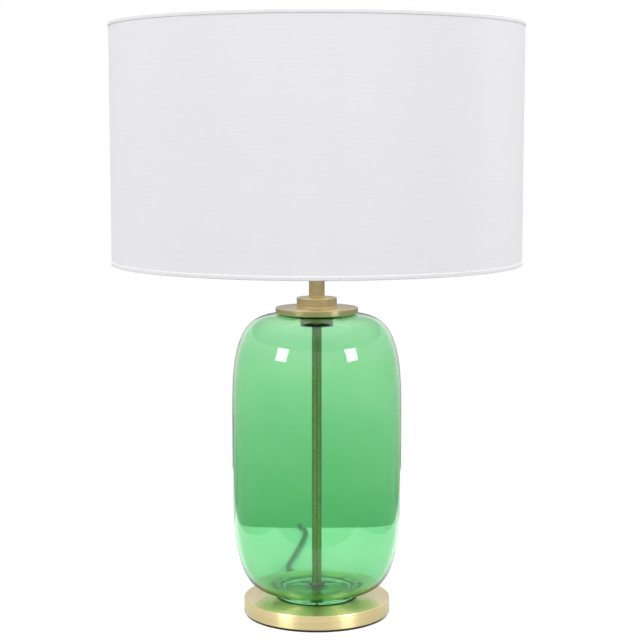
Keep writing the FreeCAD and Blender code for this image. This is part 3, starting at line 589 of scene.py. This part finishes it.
def make_foot():
    """The pad and the spun cover over it."""
    plain_ring("foot_pad", "base_pad", "black_foam", PAD_BORE, (0, 0.4, 0.4, 0), segments=160)
    radius, bottom, top = extent("base_cover")
    inner = radius - COVER_WALL
    turned("foot_cover", [(inner, bottom, 0.2 * MM), (radius, bottom, 0.5 * MM),
                          (radius, top, 1.1 * MM), (CLEAR_RADIUS, top, 0.2 * MM),
                          (CLEAR_RADIUS, top - COVER_WALL, 0), (inner, top - COVER_WALL, 0.6 * MM)],
           "brass", "root", "base_cover", segments=192)


def make_stem():
    """The stem, and the nut and washer that hold it on the bottle's floor."""
    # The stem and its nut take the darkened brass: painted shade.
    plain_ring("stem", "stem_tube", "brass", STEM_BORE, (0, 0.3, 0.3, 0), segments=64,
               look="brass_in_painted_shade")
    plain_ring("stem_nut_inside", "foot_locknut", "brass", STEM_RADIUS, (0, 0.3, 0.5, 0.3),
               segments=64, look="brass_in_painted_shade")
    plain_ring("stem_washer_inside", "foot_washer", "clear_rubber", STEM_RADIUS, (0, 0.2, 0.3, 0),
               segments=64)


GLASS_WALL = 0.003
HEEL_EXTRA = 4 / 3                     # the heel is this much thicker than the wall
SHOULDER_CENTRE = (0.0252, 0.1906)
SHOULDER_POWER = 3.65
HEEL_CENTRE = (0.0472, 0.1374)
HEEL_BOTTOM = 0.0265
HEEL_POWER = 2.8
MOUTH_RADIUS = 0.0175
HOLE_RADIUS = 0.0066
FLOOR_TOP = 0.027
RING_RADIUS = 0.0385


def quarter(centre, reach, rise, power, count=36):
    """A quarter superellipse from (reach, 0) to (0, rise) about a centre, without rounding."""
    points = []
    for i in range(count):
        angle = math.pi / 2 * i / (count - 1)
        across = reach * max(0.0, math.cos(angle)) ** (2 / power)
        up = rise * math.sin(angle) ** (2 / power)
        points.append((centre[0] + across, centre[1] + up, 0))
    return points


def bottle_side(radius, top, inset):
    """The wall's side, from the shoulder's top down to the heel's bottom."""
    shoulder = quarter(SHOULDER_CENTRE, radius - inset - SHOULDER_CENTRE[0],
                       top - inset - SHOULDER_CENTRE[1], SHOULDER_POWER)
    drop = HEEL_CENTRE[1] - HEEL_BOTTOM - HEEL_EXTRA * inset
    heel = quarter(HEEL_CENTRE, radius - inset - HEEL_CENTRE[0], -drop, HEEL_POWER)
    return shoulder[::-1] + heel


def blown(point):
    """The slight unevenness of blown glass, fading out where the bottle is gripped."""
    middle = math.sin(math.pi * min(1.0, max(0.0, (point.z - 0.03) / 0.27)))
    wave = noise.noise(Vector((point.x * 16, point.y * 16, point.z * 9)))
    across = math.hypot(point.x, point.y)
    move = 1 + 0.35 * MM * wave * middle / max(across, 0.02)
    return Vector((point.x * move, point.y * move, point.z))


def make_bottle():
    """Shoulder, wall, heel, short ring foot, thick floor with the stem's hole, and open top."""
    radius, foot, top = extent("glass_body")
    ring = RING_RADIUS
    underside = [(ring + 3 * MM, foot + 4.5 * MM, 3 * MM), (ring + 1.5 * MM, foot, 1.2 * MM),
                 (ring - 1.5 * MM, foot, 1.2 * MM), (ring - 5 * MM, foot + 2.5 * MM, 3 * MM),
                 (HOLE_RADIUS, foot + 3.5 * MM, 0.5 * MM), (HOLE_RADIUS, FLOOR_TOP, 0.5 * MM),
                 (ring - 8 * MM, FLOOR_TOP, 8 * MM)]
    mouth = [(MOUTH_RADIUS, top - GLASS_WALL, 0.8 * MM), (MOUTH_RADIUS, top, 0.8 * MM)]
    corners = bottle_side(radius, top, 0) + underside
    corners += bottle_side(radius, top, GLASS_WALL)[::-1] + mouth
    mesh = lathe_mesh("bottle", rounded(corners, 6), 224, wobble=blown)
    new_piece("bottle", mesh, "green_glass", "root", "glass_body", smooth=50)
    # The seal under the bottle's foot: its dark tint is painted shadow.
    plain_ring("bottle_gasket", "glass_gasket", "clear_rubber", ring - 4 * MM, (0, 0.3, 0.3, 0),
               segments=128)


# ------------------------------------------------------------------ cap, collar and neck
SEAL_BORE = 0.0178


def make_top_fittings():
    """Cap disc, collar, neck tube, the seal under the cap and the plug in the mouth."""
    plain_ring("cap", "cap_disc", "brass", CLEAR_RADIUS, (0, 1.4, 0.5, 0), segments=160)
    rim, bottom, top = extent("collar")
    radius = rim - 0.8 * MM
    inner = radius - 1.6 * MM
    turned("collar_cup", [(inner, bottom, 0), (rim, bottom, 0.1 * MM),
                          (rim, bottom + 0.9 * MM, 0.3 * MM), (radius, bottom + 1.4 * MM, 0.4 * MM),
                          (radius, top, 0.8 * MM), (CLEAR_RADIUS, top, 0.2 * MM),
                          (CLEAR_RADIUS, top - 1.6 * MM, 0), (inner, top - 1.6 * MM, 0.3 * MM)],
           "brass", "root", "collar", segments=128)
    rim, bottom, top = extent("neck_tube")
    radius = rim - 0.3 * MM
    bore = radius - 1.5 * MM
    turned("neck", [(bore, bottom, 0), (rim, bottom, 0.1 * MM), (rim, bottom + 1.1 * MM, 0.3 * MM),
                    (radius, bottom + 1.6 * MM, 0.3 * MM), (radius, top, 0.4 * MM), (bore, top, 0)],
           "brass", "root", "neck_tube", segments=96)
    plain_ring("cap_seal", "cap_gasket", "black_rubber", SEAL_BORE, (0.1, 0.3, 0.3, 0), segments=128)
    plain_ring("mouth_plug", "centring_plug", "black_rubber", STEM_RADIUS, (0.2, 1.2, 0, 0))


# ------------------------------------------------------------------ lampholder
def ribbed(name, corners, ribs, depth, low, high, segments=120):
    """A turned piece with upright grip ribs between two heights, on its outer side."""
    widest = max(corner[0] for corner in corners)

    def rib(point):
        across = math.hypot(point.x, point.y)
        if across < widest - depth * 3 or not low <= point.z <= high:
            return point
        wave = abs(math.sin(math.atan2(point.y, point.x) * ribs / 2)) ** 0.6
        scale = (across - depth * (1 - wave)) / across
        return Vector((point.x * scale, point.y * scale, point.z))

    return lathe_mesh(name, rounded(corners), segments, wobble=rib)


HOLDER_BORE = 0.0149
HOLDER_THREAD = 0.0195                 # radius over the outer thread


def make_lampholder():
    """Ribbed cap, threaded skirt with the shade's seat, and the ring that clamps the shade."""
    radius, bottom, top = extent("holder_cap")
    knee = bottom + 7 * MM
    corners = [(STEM_RADIUS, bottom, 0.3 * MM), (0.011, bottom, 1.5 * MM), (radius, knee, 2 * MM),
               (radius, knee + 3 * MM, 0.2 * MM), (radius, top, 0.3 * MM),
               (radius - 2 * MM, top, 0), (radius - 2 * MM, knee + 1.5 * MM, 1 * MM),
               (0.010, bottom + 4 * MM, 1 * MM), (STEM_RADIUS, bottom + 4 * MM, 0)]
    mesh = ribbed("lampholder_cap", corners, 30, 0.4 * MM, knee + 2 * MM, top, 240)
    new_piece("lampholder_cap", mesh, "black_plastic", "root", "holder_cap")
    seat, bottom, top = extent("holder_shell")
    flange = lathe_mesh("seat", rounded([(HOLDER_BORE, bottom, 0), (seat, bottom, 0.6 * MM),
                                         (seat, bottom + 3 * MM, 0.6 * MM),
                                         (HOLDER_BORE, bottom + 3 * MM, 0)]), 96)
    skirt = threaded("skirt", HOLDER_THREAD, bottom + 3 * MM, top - 1 * MM, 0.7 * MM, 2.3 * MM,
                     HOLDER_BORE)
    lip = lathe_mesh("lip", rounded([(HOLDER_BORE, top - 1.2 * MM, 0),
                                     (HOLDER_THREAD - 0.8 * MM, top - 1.2 * MM, 0),
                                     (HOLDER_THREAD - 1.2 * MM, top, 0.4 * MM),
                                     (HOLDER_BORE, top, 0.5 * MM)]), 96)
    mesh = joined("lampholder_skirt", flange, skirt, lip)
    new_piece("lampholder_skirt", mesh, "black_plastic", "root", "holder_shell")
    radius, bottom, top = extent("clamp_ring")
    inner = HOLDER_THREAD + 0.1 * MM
    neck = HOLDER_THREAD + 2 * MM
    corners = [(inner, bottom, 0.2 * MM), (radius, bottom, 0.4 * MM),
               (radius, bottom + 2.7 * MM, 0.5 * MM), (neck, top - 3 * MM, 1 * MM),
               (neck, top, 0.5 * MM),
               (inner, top, 0.3 * MM)]
    mesh = ribbed("clamp_ring_notched", corners, 24, 0.6 * MM, bottom, bottom + 2.9 * MM, 192)
    new_piece("clamp_ring_notched", mesh, "black_plastic", "shade", "clamp_ring")


# ------------------------------------------------------------------ shade
FABRIC_WALL = 0.0007
LINER_WALL = 0.0008
HEM_WALL = 0.0005
HEM_DEPTH = 0.0038
SHADE_SEGMENTS = 256
SEAM_WIDE = 0.011                      # the overlap where the fabric's ends are stuck together
WIRE_RADIUS = 0.0016
SPOKE_BEND = 0.168                     # radius at which each spoke bends down to the hoop
SPOKE_CURVE = 0.012
FITTER_BORE = 0.0202


def skin(radius, bottom, top, wall):
    """A stretched skin: a thin tube with levels up its height, barely uneven between hoops."""
    levels = 24
    outline = [(radius, bottom + (top - bottom) * i / levels) for i in range(levels + 1)]
    outline += [(across - wall, up) for across, up in outline[::-1]]

    def uneven(point):
        share = (point.z - bottom) / (top - bottom)
        lift = math.sin(math.pi * min(1.0, max(0.0, share)))
        wave = noise.noise(Vector((point.x * 7, point.y * 7, point.z * 5 + 3)))
        scale = 1 + 0.0007 * lift * wave
        return Vector((point.x * scale, point.y * scale, point.z))

    return lathe_mesh("skin", outline, SHADE_SEGMENTS, wobble=uneven)


def hem(radius, tip, way):
    """The fabric's edge folded round the hoop: outside, over the edge and back up inside."""
    outer = radius + HEM_WALL
    inner = radius - FABRIC_WALL - LINER_WALL
    far = tip + way * HEM_DEPTH
    near = tip + way * HEM_WALL
    soft = 0.25 * MM
    return lathe_mesh("hem", rounded([
        (inner - HEM_WALL, far, 0.1 * MM), (inner - HEM_WALL, tip, soft * 2), (outer, tip, soft * 3),
        (outer, far, 0.2 * MM), (radius, far, 0), (radius, near, 0), (inner, near, 0),
        (inner, far, 0)]), SHADE_SEGMENTS)


def make_shade():
    """The linen, its two hems and its seam, over the stiff liner."""
    radius, bottom, top = extent("shade_fabric")
    mesh = skin(radius, bottom, top, FABRIC_WALL)
    fabric = new_piece("fabric", mesh, "linen", "shade", "shade_fabric")
    for name, node, way in (("hem_high", "hem_top", -1), ("hem_low", "hem_bottom", 1)):
        low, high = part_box(node)
        tip = high.z if way < 0 else low.z
        new_piece(name, hem(radius, tip, way), "linen", "shade", node)
    seam = new_piece("seam", seam_mesh(radius, bottom, top), "linen", "shade")
    inner = radius - FABRIC_WALL
    mesh = skin(inner - 0.02 * MM, bottom, top, LINER_WALL - 0.05 * MM)
    new_piece("liner_sheet", mesh, "liner", "shade", "shade_liner")


def seam_mesh(radius, bottom, top):
    """The overlap down the back, with a soft edge, as thick as one layer of fabric."""
    bm = bmesh.new()
    half = SEAM_WIDE / 2 / radius
    rows = 24
    section = [(-1.0, 0.05), (-0.94, 0.45), (-0.8, 0.5), (0.0, 0.52), (0.8, 0.5), (0.94, 0.45),
               (1.0, 0.05)]
    rings = []
    for i in range(rows + 1):
        height = bottom + (top - bottom) * i / rows
        ring = []
        for across, lift in section:
            angle = math.pi / 2 + across * half
            reach = radius + lift * MM
            ring.append(bm.verts.new((reach * math.cos(angle), reach * math.sin(angle), height)))
        rings.append(ring)
    for low, high in zip(rings, rings[1:]):
        for k in range(len(section) - 1):
            bm.faces.new((low[k], low[k + 1], high[k + 1], high[k]))
    return mesh_from("seam", bm)


def weld(place, size):
    """A small uneven bead where a wire is welded on."""
    bm = bmesh.new()
    bmesh.ops.create_icosphere(bm, subdivisions=3, radius=size)
    for vert in bm.verts:
        vert.co *= 1 + 0.15 * noise.noise(vert.co * 900 + place * 50)
        vert.co += place
    return mesh_from("weld", bm, outward=False)


def hoop_line(node):
    """The radius and the height of a hoop's centre line."""
    radius, low, high = extent(node)
    return radius - WIRE_RADIUS, (low + high) / 2


def make_shade_wires():
    """Both hoops, the fitter, and three spokes welded from it to the lower hoop."""
    for node in ("ring_bottom", "ring_top"):
        across, level = hoop_line(node)
        points = [Vector((across * math.cos(a), across * math.sin(a), level))
                  for a in (2 * math.pi * i / 180 for i in range(180))]
        new_piece(node + "_hoop", tube_mesh(node, points, WIRE_RADIUS, 12, closed=True),
                  "white_wire", "shade", node)
    plain_ring("fitter", "fitter_ring", "white_wire", FITTER_BORE, (0.3, 0.5, 0.5, 0.3), body="shade")
    hoop_radius, low_hoop = hoop_line("ring_bottom")
    radius, bottom, top = extent("fitter_ring")
    level = (bottom + top) / 2
    wire = WIRE_RADIUS - 0.2 * MM
    for number in range(3):
        angle = math.pi / 2 + 2 * math.pi / 3 * number
        way = Vector((math.cos(angle), math.sin(angle), 0))
        corners = [way * (radius - 0.6 * MM) + Vector((0, 0, level)),
                   way * SPOKE_BEND + Vector((0, 0, level)),
                   way * hoop_radius + Vector((0, 0, low_hoop))]
        mesh = joined("spoke", tube_mesh("wire", bent(corners, SPOKE_CURVE), wire, 12),
                      weld(corners[0], 2.0 * MM), weld(corners[2], 2.1 * MM))
        node = "spoke_%d" % (number + 1)
        new_piece(node + "_wire", mesh, "white_wire", "shade", node)


def bent(corners, radius, steps=8):
    """A wire's line through three corners, with a round bend at the middle one."""
    start, middle, end = corners
    back = (start - middle).normalized()
    ahead = (end - middle).normalized()
    half = back.angle(ahead) / 2
    reach = radius / math.tan(half)
    centre = middle + (back + ahead).normalized() * radius / math.sin(half)
    first = middle + back * reach - centre
    last = middle + ahead * reach - centre
    points = [start]
    for i in range(steps + 1):
        points.append(centre + first.slerp(last, i / steps).normalized() * first.length)
    return points + [end]


# ------------------------------------------------------------------ bulb
GLOBE_WALL = 0.0008
INSULATOR_TIP = 0.0052                 # radii of the small lower ends
CONTACT_TIP = 0.0036


def smooth_through(points, steps=8):
    """A smooth line through (radius, height) points, straight up at the first, level at the last."""
    points = [Vector(p) for p in points]
    ways = [Vector((0, 1)) * (points[1] - points[0]).length]
    ways += [(after - before) / 2 for before, after in zip(points, points[2:])]
    ways.append(Vector((-1, 0)) * (points[-1] - points[-2]).length)
    line = [points[0]]
    for i in range(len(points) - 1):
        for k in range(1, steps + 1):
            t = k / steps
            line.append(points[i] * (2 * t ** 3 - 3 * t ** 2 + 1) + ways[i] * (t ** 3 - 2 * t ** 2 + t)
                        + points[i + 1] * (3 * t ** 2 - 2 * t ** 3) + ways[i + 1] * (t ** 3 - t ** 2))
    return line


def globe_line(inset):
    """The globe's half outline, from the screw shell to the crown, set in by inset."""
    full, low, top = extent("bulb_globe")
    screw, _, screw_top = extent("bulb_screw")
    radius = full - inset
    middle = top - full
    neck = screw - 0.6 * MM - inset
    return smooth_through([(neck, low), (neck + 1.4 * MM, screw_top + 8 * MM),
                           (radius * 0.82, middle - 22 * MM), (radius, middle),
                           (radius * 0.71, middle + radius * 0.71), (0, middle + radius)])


def make_bulb():
    """Globe, threaded screw shell, insulator and tip contact."""
    mesh = lathe_mesh("globe", globe_line(0) + globe_line(GLOBE_WALL)[::-1], 96)
    new_piece("globe", mesh, "bulb_glass", "bulb", "bulb_globe")
    radius, bottom, top = extent("bulb_screw")
    shell = threaded("shell", radius, bottom + 1.6 * MM, top - 2 * MM, 0.9 * MM, 3.62 * MM,
                     radius - 2.2 * MM)
    skirt = lathe_mesh("skirt", rounded([
        (radius - 2.2 * MM, top - 2 * MM, 0), (radius - 0.8 * MM, top - 2 * MM, 0.4 * MM),
        (radius, top, 0.4 * MM), (radius - 1.2 * MM, top, 0)]), 96)
    foot = lathe_mesh("foot", rounded([
        (0, bottom, 0), (radius - 2 * MM, bottom, 0.8 * MM),
        (radius - 0.8 * MM, bottom + 1.6 * MM, 0.3 * MM), (0, bottom + 1.6 * MM, 0)]),
        96, closed=False)
    new_piece("screw_shell", joined("screw_shell", shell, skirt, foot), "nickel", "bulb",
              "bulb_screw")
    radius, bottom, top = extent("bulb_insulator")
    turned("insulator", [(0, bottom, 0), (INSULATOR_TIP, bottom, 0.4 * MM), (radius, top, 0.8 * MM),
                         (0, top, 0)], "black_glass", "bulb", "bulb_insulator")
    radius, bottom, top = extent("bulb_contact")
    turned("tip_contact", [(0, bottom, 0), (CONTACT_TIP, bottom, 0.8 * MM), (radius, top, 0.2 * MM),
                           (0, top, 0)], "nickel", "bulb_lift", "bulb_contact")


# ------------------------------------------------------------------ switch and plug
def soft_edges(node, name, slot, width, body="root"):
    """A CAD node's own shape with its edges broken, as moulded pieces have."""
    mesh = frame["nodes"][node].data.copy()
    mesh.materials.clear()
    bm = bmesh.new()
    bm.from_mesh(mesh)
    bmesh.ops.remove_doubles(bm, verts=bm.verts, dist=1e-6)
    bmesh.ops.dissolve_limit(bm, angle_limit=math.radians(1), verts=bm.verts, edges=bm.edges)
    sharp = [e for e in bm.edges if len(e.link_faces) == 2 and e.calc_face_angle() > math.radians(35)]
    bmesh.ops.bevel(bm, geom=sharp, offset=width, segments=3, profile=0.5, affect="EDGES",
                    clamp_overlap=True)
    bm.to_mesh(mesh)
    bm.free()
    return new_piece(name, mesh, slot, body, node, smooth=40)


def grip_mesh():
    """Moulded grip of the plug: an oval body with waisted sides and three finger ridges."""
    face = PLUG_BACK - PLUG_LENGTH
    stations = 40
    sides = 48
    bm = bmesh.new()
    rings = []
    for i in range(stations + 1):
        share = i / stations
        waist = math.sin(math.pi * min(1.0, share * 1.25))
        half_wide = 0.0132 - 0.0072 * share ** 1.4 - 0.0011 * waist
        half_tall = 0.0067 - 0.0019 * share - 0.0004 * waist
        ridge = 0.00035 * max(0.0, math.sin(share * 2 * math.pi * 8)) if 0.35 < share < 0.85 else 0
        lip = min(1.0, 0.82 + 6 * share, 0.86 + 6 * (1 - share))
        ring = []
        for k in range(sides):
            angle = 2 * math.pi * k / sides
            across = math.copysign(abs(math.cos(angle)) ** 0.55, math.cos(angle))
            up = math.copysign(abs(math.sin(angle)) ** 0.55, math.sin(angle))
            ring.append(bm.verts.new((PLUG_X + across * (half_wide + ridge) * lip,
                                      face + PLUG_LENGTH * share,
                                      PLUG_HEIGHT + up * half_tall * lip)))
        rings.append(ring)
    join_row(bm, rings, sides)
    bm.faces.new(rings[0][::-1])
    bm.faces.new(rings[-1])
    return mesh_from("grip", bm)


def make_cord_pieces():
    """Switch and plug, in the same places as in the frame."""
    pieces = [
        soft_edges("switch_lower", "switch_base", "clear_plastic", 0.35 * MM),
        soft_edges("switch_upper", "switch_cover", "clear_plastic", 0.35 * MM),
        soft_edges("switch_rocker", "rocker_key", "clear_plastic", 0.3 * MM, body="rocker"),
        new_piece("plug_grip", grip_mesh(), "clear_plastic", "root", "plug_body", smooth=50),
    ]
    nodes = frame["nodes"]
    carried = ("switch_pivot", "switch_screws", "switch_contacts", "plug_pins", "plug_sleeves")
    return pieces + [nodes[name] for name in carried]


def dress_frame():
    """The CAD pieces that stay as they are get their materials."""
    for row in frame["record"]["subparts"]:
        node = frame["nodes"][row["node"]]
        node.data.materials.clear()
        node.data.materials.append(materials[row["material_slot"]])


# ------------------------------------------------------------------ stage and lights
TABLE_FRONT = -0.27                    # the white paper's edges; beyond them the room is dark
TABLE_BACK = 0.70
TABLE_HALF = 0.34
FLOOR_LIFT = 0.40                      # keeps the paper pure white where no shadow falls
ROOM_LOW = 0.28                        # brightness of the room level with the lamp and below
ROOM_HIGH = 1.5                        # brightness overhead
ROOM_RISE = 0.65                       # sine of the height at which it is reached
CARD_DISTANCE = 0.352                  # where the dark edge seen through the glass lies
CARD_HALF = 0.42
CARD_FOOT = 0.0005
CARD_TOP = 0.36
CARD_STRENGTH = 1.6
# Painted light and shade of the table's edge and the room, by height on the card, seen only through
# the glass.
CARD_COLOURS = ((0.0, (0.20, 0.38, 0.25)), (0.12, (0.27, 0.43, 0.30)), (0.37, (0.53, 0.545, 0.50)),
                (0.58, (0.82, 0.65, 0.70)), (0.72, (0.95, 0.66, 0.82)), (1.0, (1.0, 0.75, 0.88)))
BOX_TURN = math.radians(52)            # softboxes, each side of the camera
BOX_REACH = 1.6
BOX_LOW = 0.68
BOX_HIGH = 1.58
BOX_WIDE = 0.53
BOX_AIM = 0.3                          # height on the stem's axis that they face
BOX_SHINE = 24.0                       # watts, for reflections only
BOX_SOFT = 10.6                        # watts, for diffuse light only


def make_floor():
    """The table's white paper, with a little light of its own for the camera only."""
    mesh = bpy.data.meshes.new("floor")
    corners = [(-TABLE_HALF, TABLE_FRONT, 0), (TABLE_HALF, TABLE_FRONT, 0),
               (TABLE_HALF, TABLE_BACK, 0), (-TABLE_HALF, TABLE_BACK, 0)]
    mesh.from_pydata(corners, [], [(0, 1, 2, 3)])
    floor = bpy.data.objects.new("floor", mesh)
    bpy.context.collection.objects.link(floor)
    g = Graph("floor_paper")
    grain = g.noise(g.place(), 60.0, 3.0)
    path = g.add("LightPath")
    lift = g.math("MULTIPLY", path.outputs["Is Camera Ray"], FLOOR_LIFT)
    g.principled(Base_Color=g.tint(grain, (0.82, 0.82, 0.82), (0.85, 0.85, 0.85)), Roughness=0.8,
                 Specular_IOR_Level=0.1, Emission_Color=(1, 1, 1, 1), Emission_Strength=lift)
    mesh.materials.append(g.material)


def make_card():
    """A glowing card that paints the edge of the table and the darker room behind it, which only the
    glass shows.
    """
    mesh = bpy.data.meshes.new("card")
    mesh.from_pydata([(-CARD_HALF, CARD_DISTANCE, CARD_FOOT), (CARD_HALF, CARD_DISTANCE, CARD_FOOT),
                      (CARD_HALF, CARD_DISTANCE, CARD_TOP), (-CARD_HALF, CARD_DISTANCE, CARD_TOP)],
                     [], [(0, 1, 2, 3)])
    card = bpy.data.objects.new("card", mesh)
    bpy.context.collection.objects.link(card)
    g = Graph("card_painted_room_glow")
    height = g.add("SeparateXYZ", {0: g.place()}).outputs[2]
    ramp = g.add("ValToRGB", {0: g.between(height, 0.0, 1.0, 0.0, CARD_TOP)})
    stops = ramp.color_ramp.elements
    stops.remove(stops[-1])
    for place, colour in CARD_COLOURS:
        stop = stops.new(place) if place else stops[0]
        stop.color = (*colour, 1)
    glow = g.add("Emission", {"Color": ramp.outputs[0], "Strength": CARD_STRENGTH})
    g.set(g.output, {"Surface": glow.outputs[0]})
    mesh.materials.append(g.material)
    card.visible_camera = False
    card.visible_diffuse = False
    card.visible_glossy = False
    card.visible_shadow = False
    card.visible_volume_scatter = False


def make_world():
    """White behind the lamp and through it; its light is a grey room, brighter overhead."""
    world = bpy.data.worlds.new("studio")
    bpy.context.scene.world = world
    world.use_nodes = True
    tree = world.node_tree
    tree.nodes.clear()
    place = tree.nodes.new("ShaderNodeTexCoord")
    parts = tree.nodes.new("ShaderNodeSeparateXYZ")
    ramp = tree.nodes.new("ShaderNodeMapRange")
    path = tree.nodes.new("ShaderNodeLightPath")
    mix = tree.nodes.new("ShaderNodeMix")
    glow = tree.nodes.new("ShaderNodeBackground")
    glow.inputs["Color"].default_value = (1, 1, 1, 1)
    output = tree.nodes.new("ShaderNodeOutputWorld")
    for name, value in (("From Min", 0.0), ("From Max", ROOM_RISE), ("To Min", ROOM_LOW),
                        ("To Max", ROOM_HIGH)):
        ramp.inputs[name].default_value = value
    mix.data_type = "FLOAT"
    mix.inputs["B"].default_value = 1.0
    seen = tree.nodes.new("ShaderNodeMath")
    seen.operation = "MAXIMUM"
    for start, end in ((place.outputs["Generated"], parts.inputs[0]),
                       (parts.outputs[2], ramp.inputs["Value"]),
                       (path.outputs["Is Camera Ray"], seen.inputs[0]),
                       (path.outputs["Is Transmission Ray"], seen.inputs[1]),
                       (seen.outputs[0], mix.inputs["Factor"]),
                       (ramp.outputs["Result"], mix.inputs["A"]),
                       (mix.outputs["Result"], glow.inputs["Strength"]),
                       (glow.outputs[0], output.inputs[0])):
        tree.links.new(start, end)


def make_lights():
    """Two tall softboxes in front of the lamp, one each side of the camera."""
    for side in (-1, 1):
        for kind, strength, glossy in (("shine", BOX_SHINE, True), ("soft", BOX_SOFT, False)):
            light = bpy.data.lights.new("%s_%d" % (kind, side), "AREA")
            light.shape = "RECTANGLE"
            light.size = BOX_WIDE
            light.size_y = BOX_HIGH - BOX_LOW
            light.energy = strength
            box = bpy.data.objects.new(light.name, light)
            middle = (BOX_LOW + BOX_HIGH) / 2
            box.location = (side * BOX_REACH * math.sin(BOX_TURN),
                            -BOX_REACH * math.cos(BOX_TURN), middle)
            aim = Vector((0, 0, BOX_AIM)) - box.location
            box.rotation_euler = aim.to_track_quat("-Z", "Y").to_euler()
            box.visible_camera = False
            box.visible_diffuse = not glossy
            box.visible_glossy = glossy
            box.visible_transmission = False
            bpy.context.collection.objects.link(box)


def set_render_look():
    """Plain colours, and enough bounces for light to pass both walls of the bottle."""
    scene = bpy.context.scene
    scene.view_settings.view_transform = "Standard"
    cycles = scene.cycles
    cycles.max_bounces = 24
    cycles.transmission_bounces = 20
    cycles.transparent_max_bounces = 24
    cycles.glossy_bounces = 8
    cycles.diffuse_bounces = 4
    cycles.caustics_reflective = False
    cycles.caustics_refractive = False
    cycles.use_denoising = True


# ------------------------------------------------------------------ put it together
make_camera()
materials = make_materials()
dress_frame()
cord, cord_path = make_cord()
cores = make_cores(cord_path)
pieces_on_cord = make_cord_pieces()
make_relief()
make_foot()
make_stem()
make_bottle()
make_top_fittings()
make_lampholder()
make_shade()
make_shade_wires()
make_bulb()
make_floor()
make_card()
make_world()
make_lights()
set_render_look()
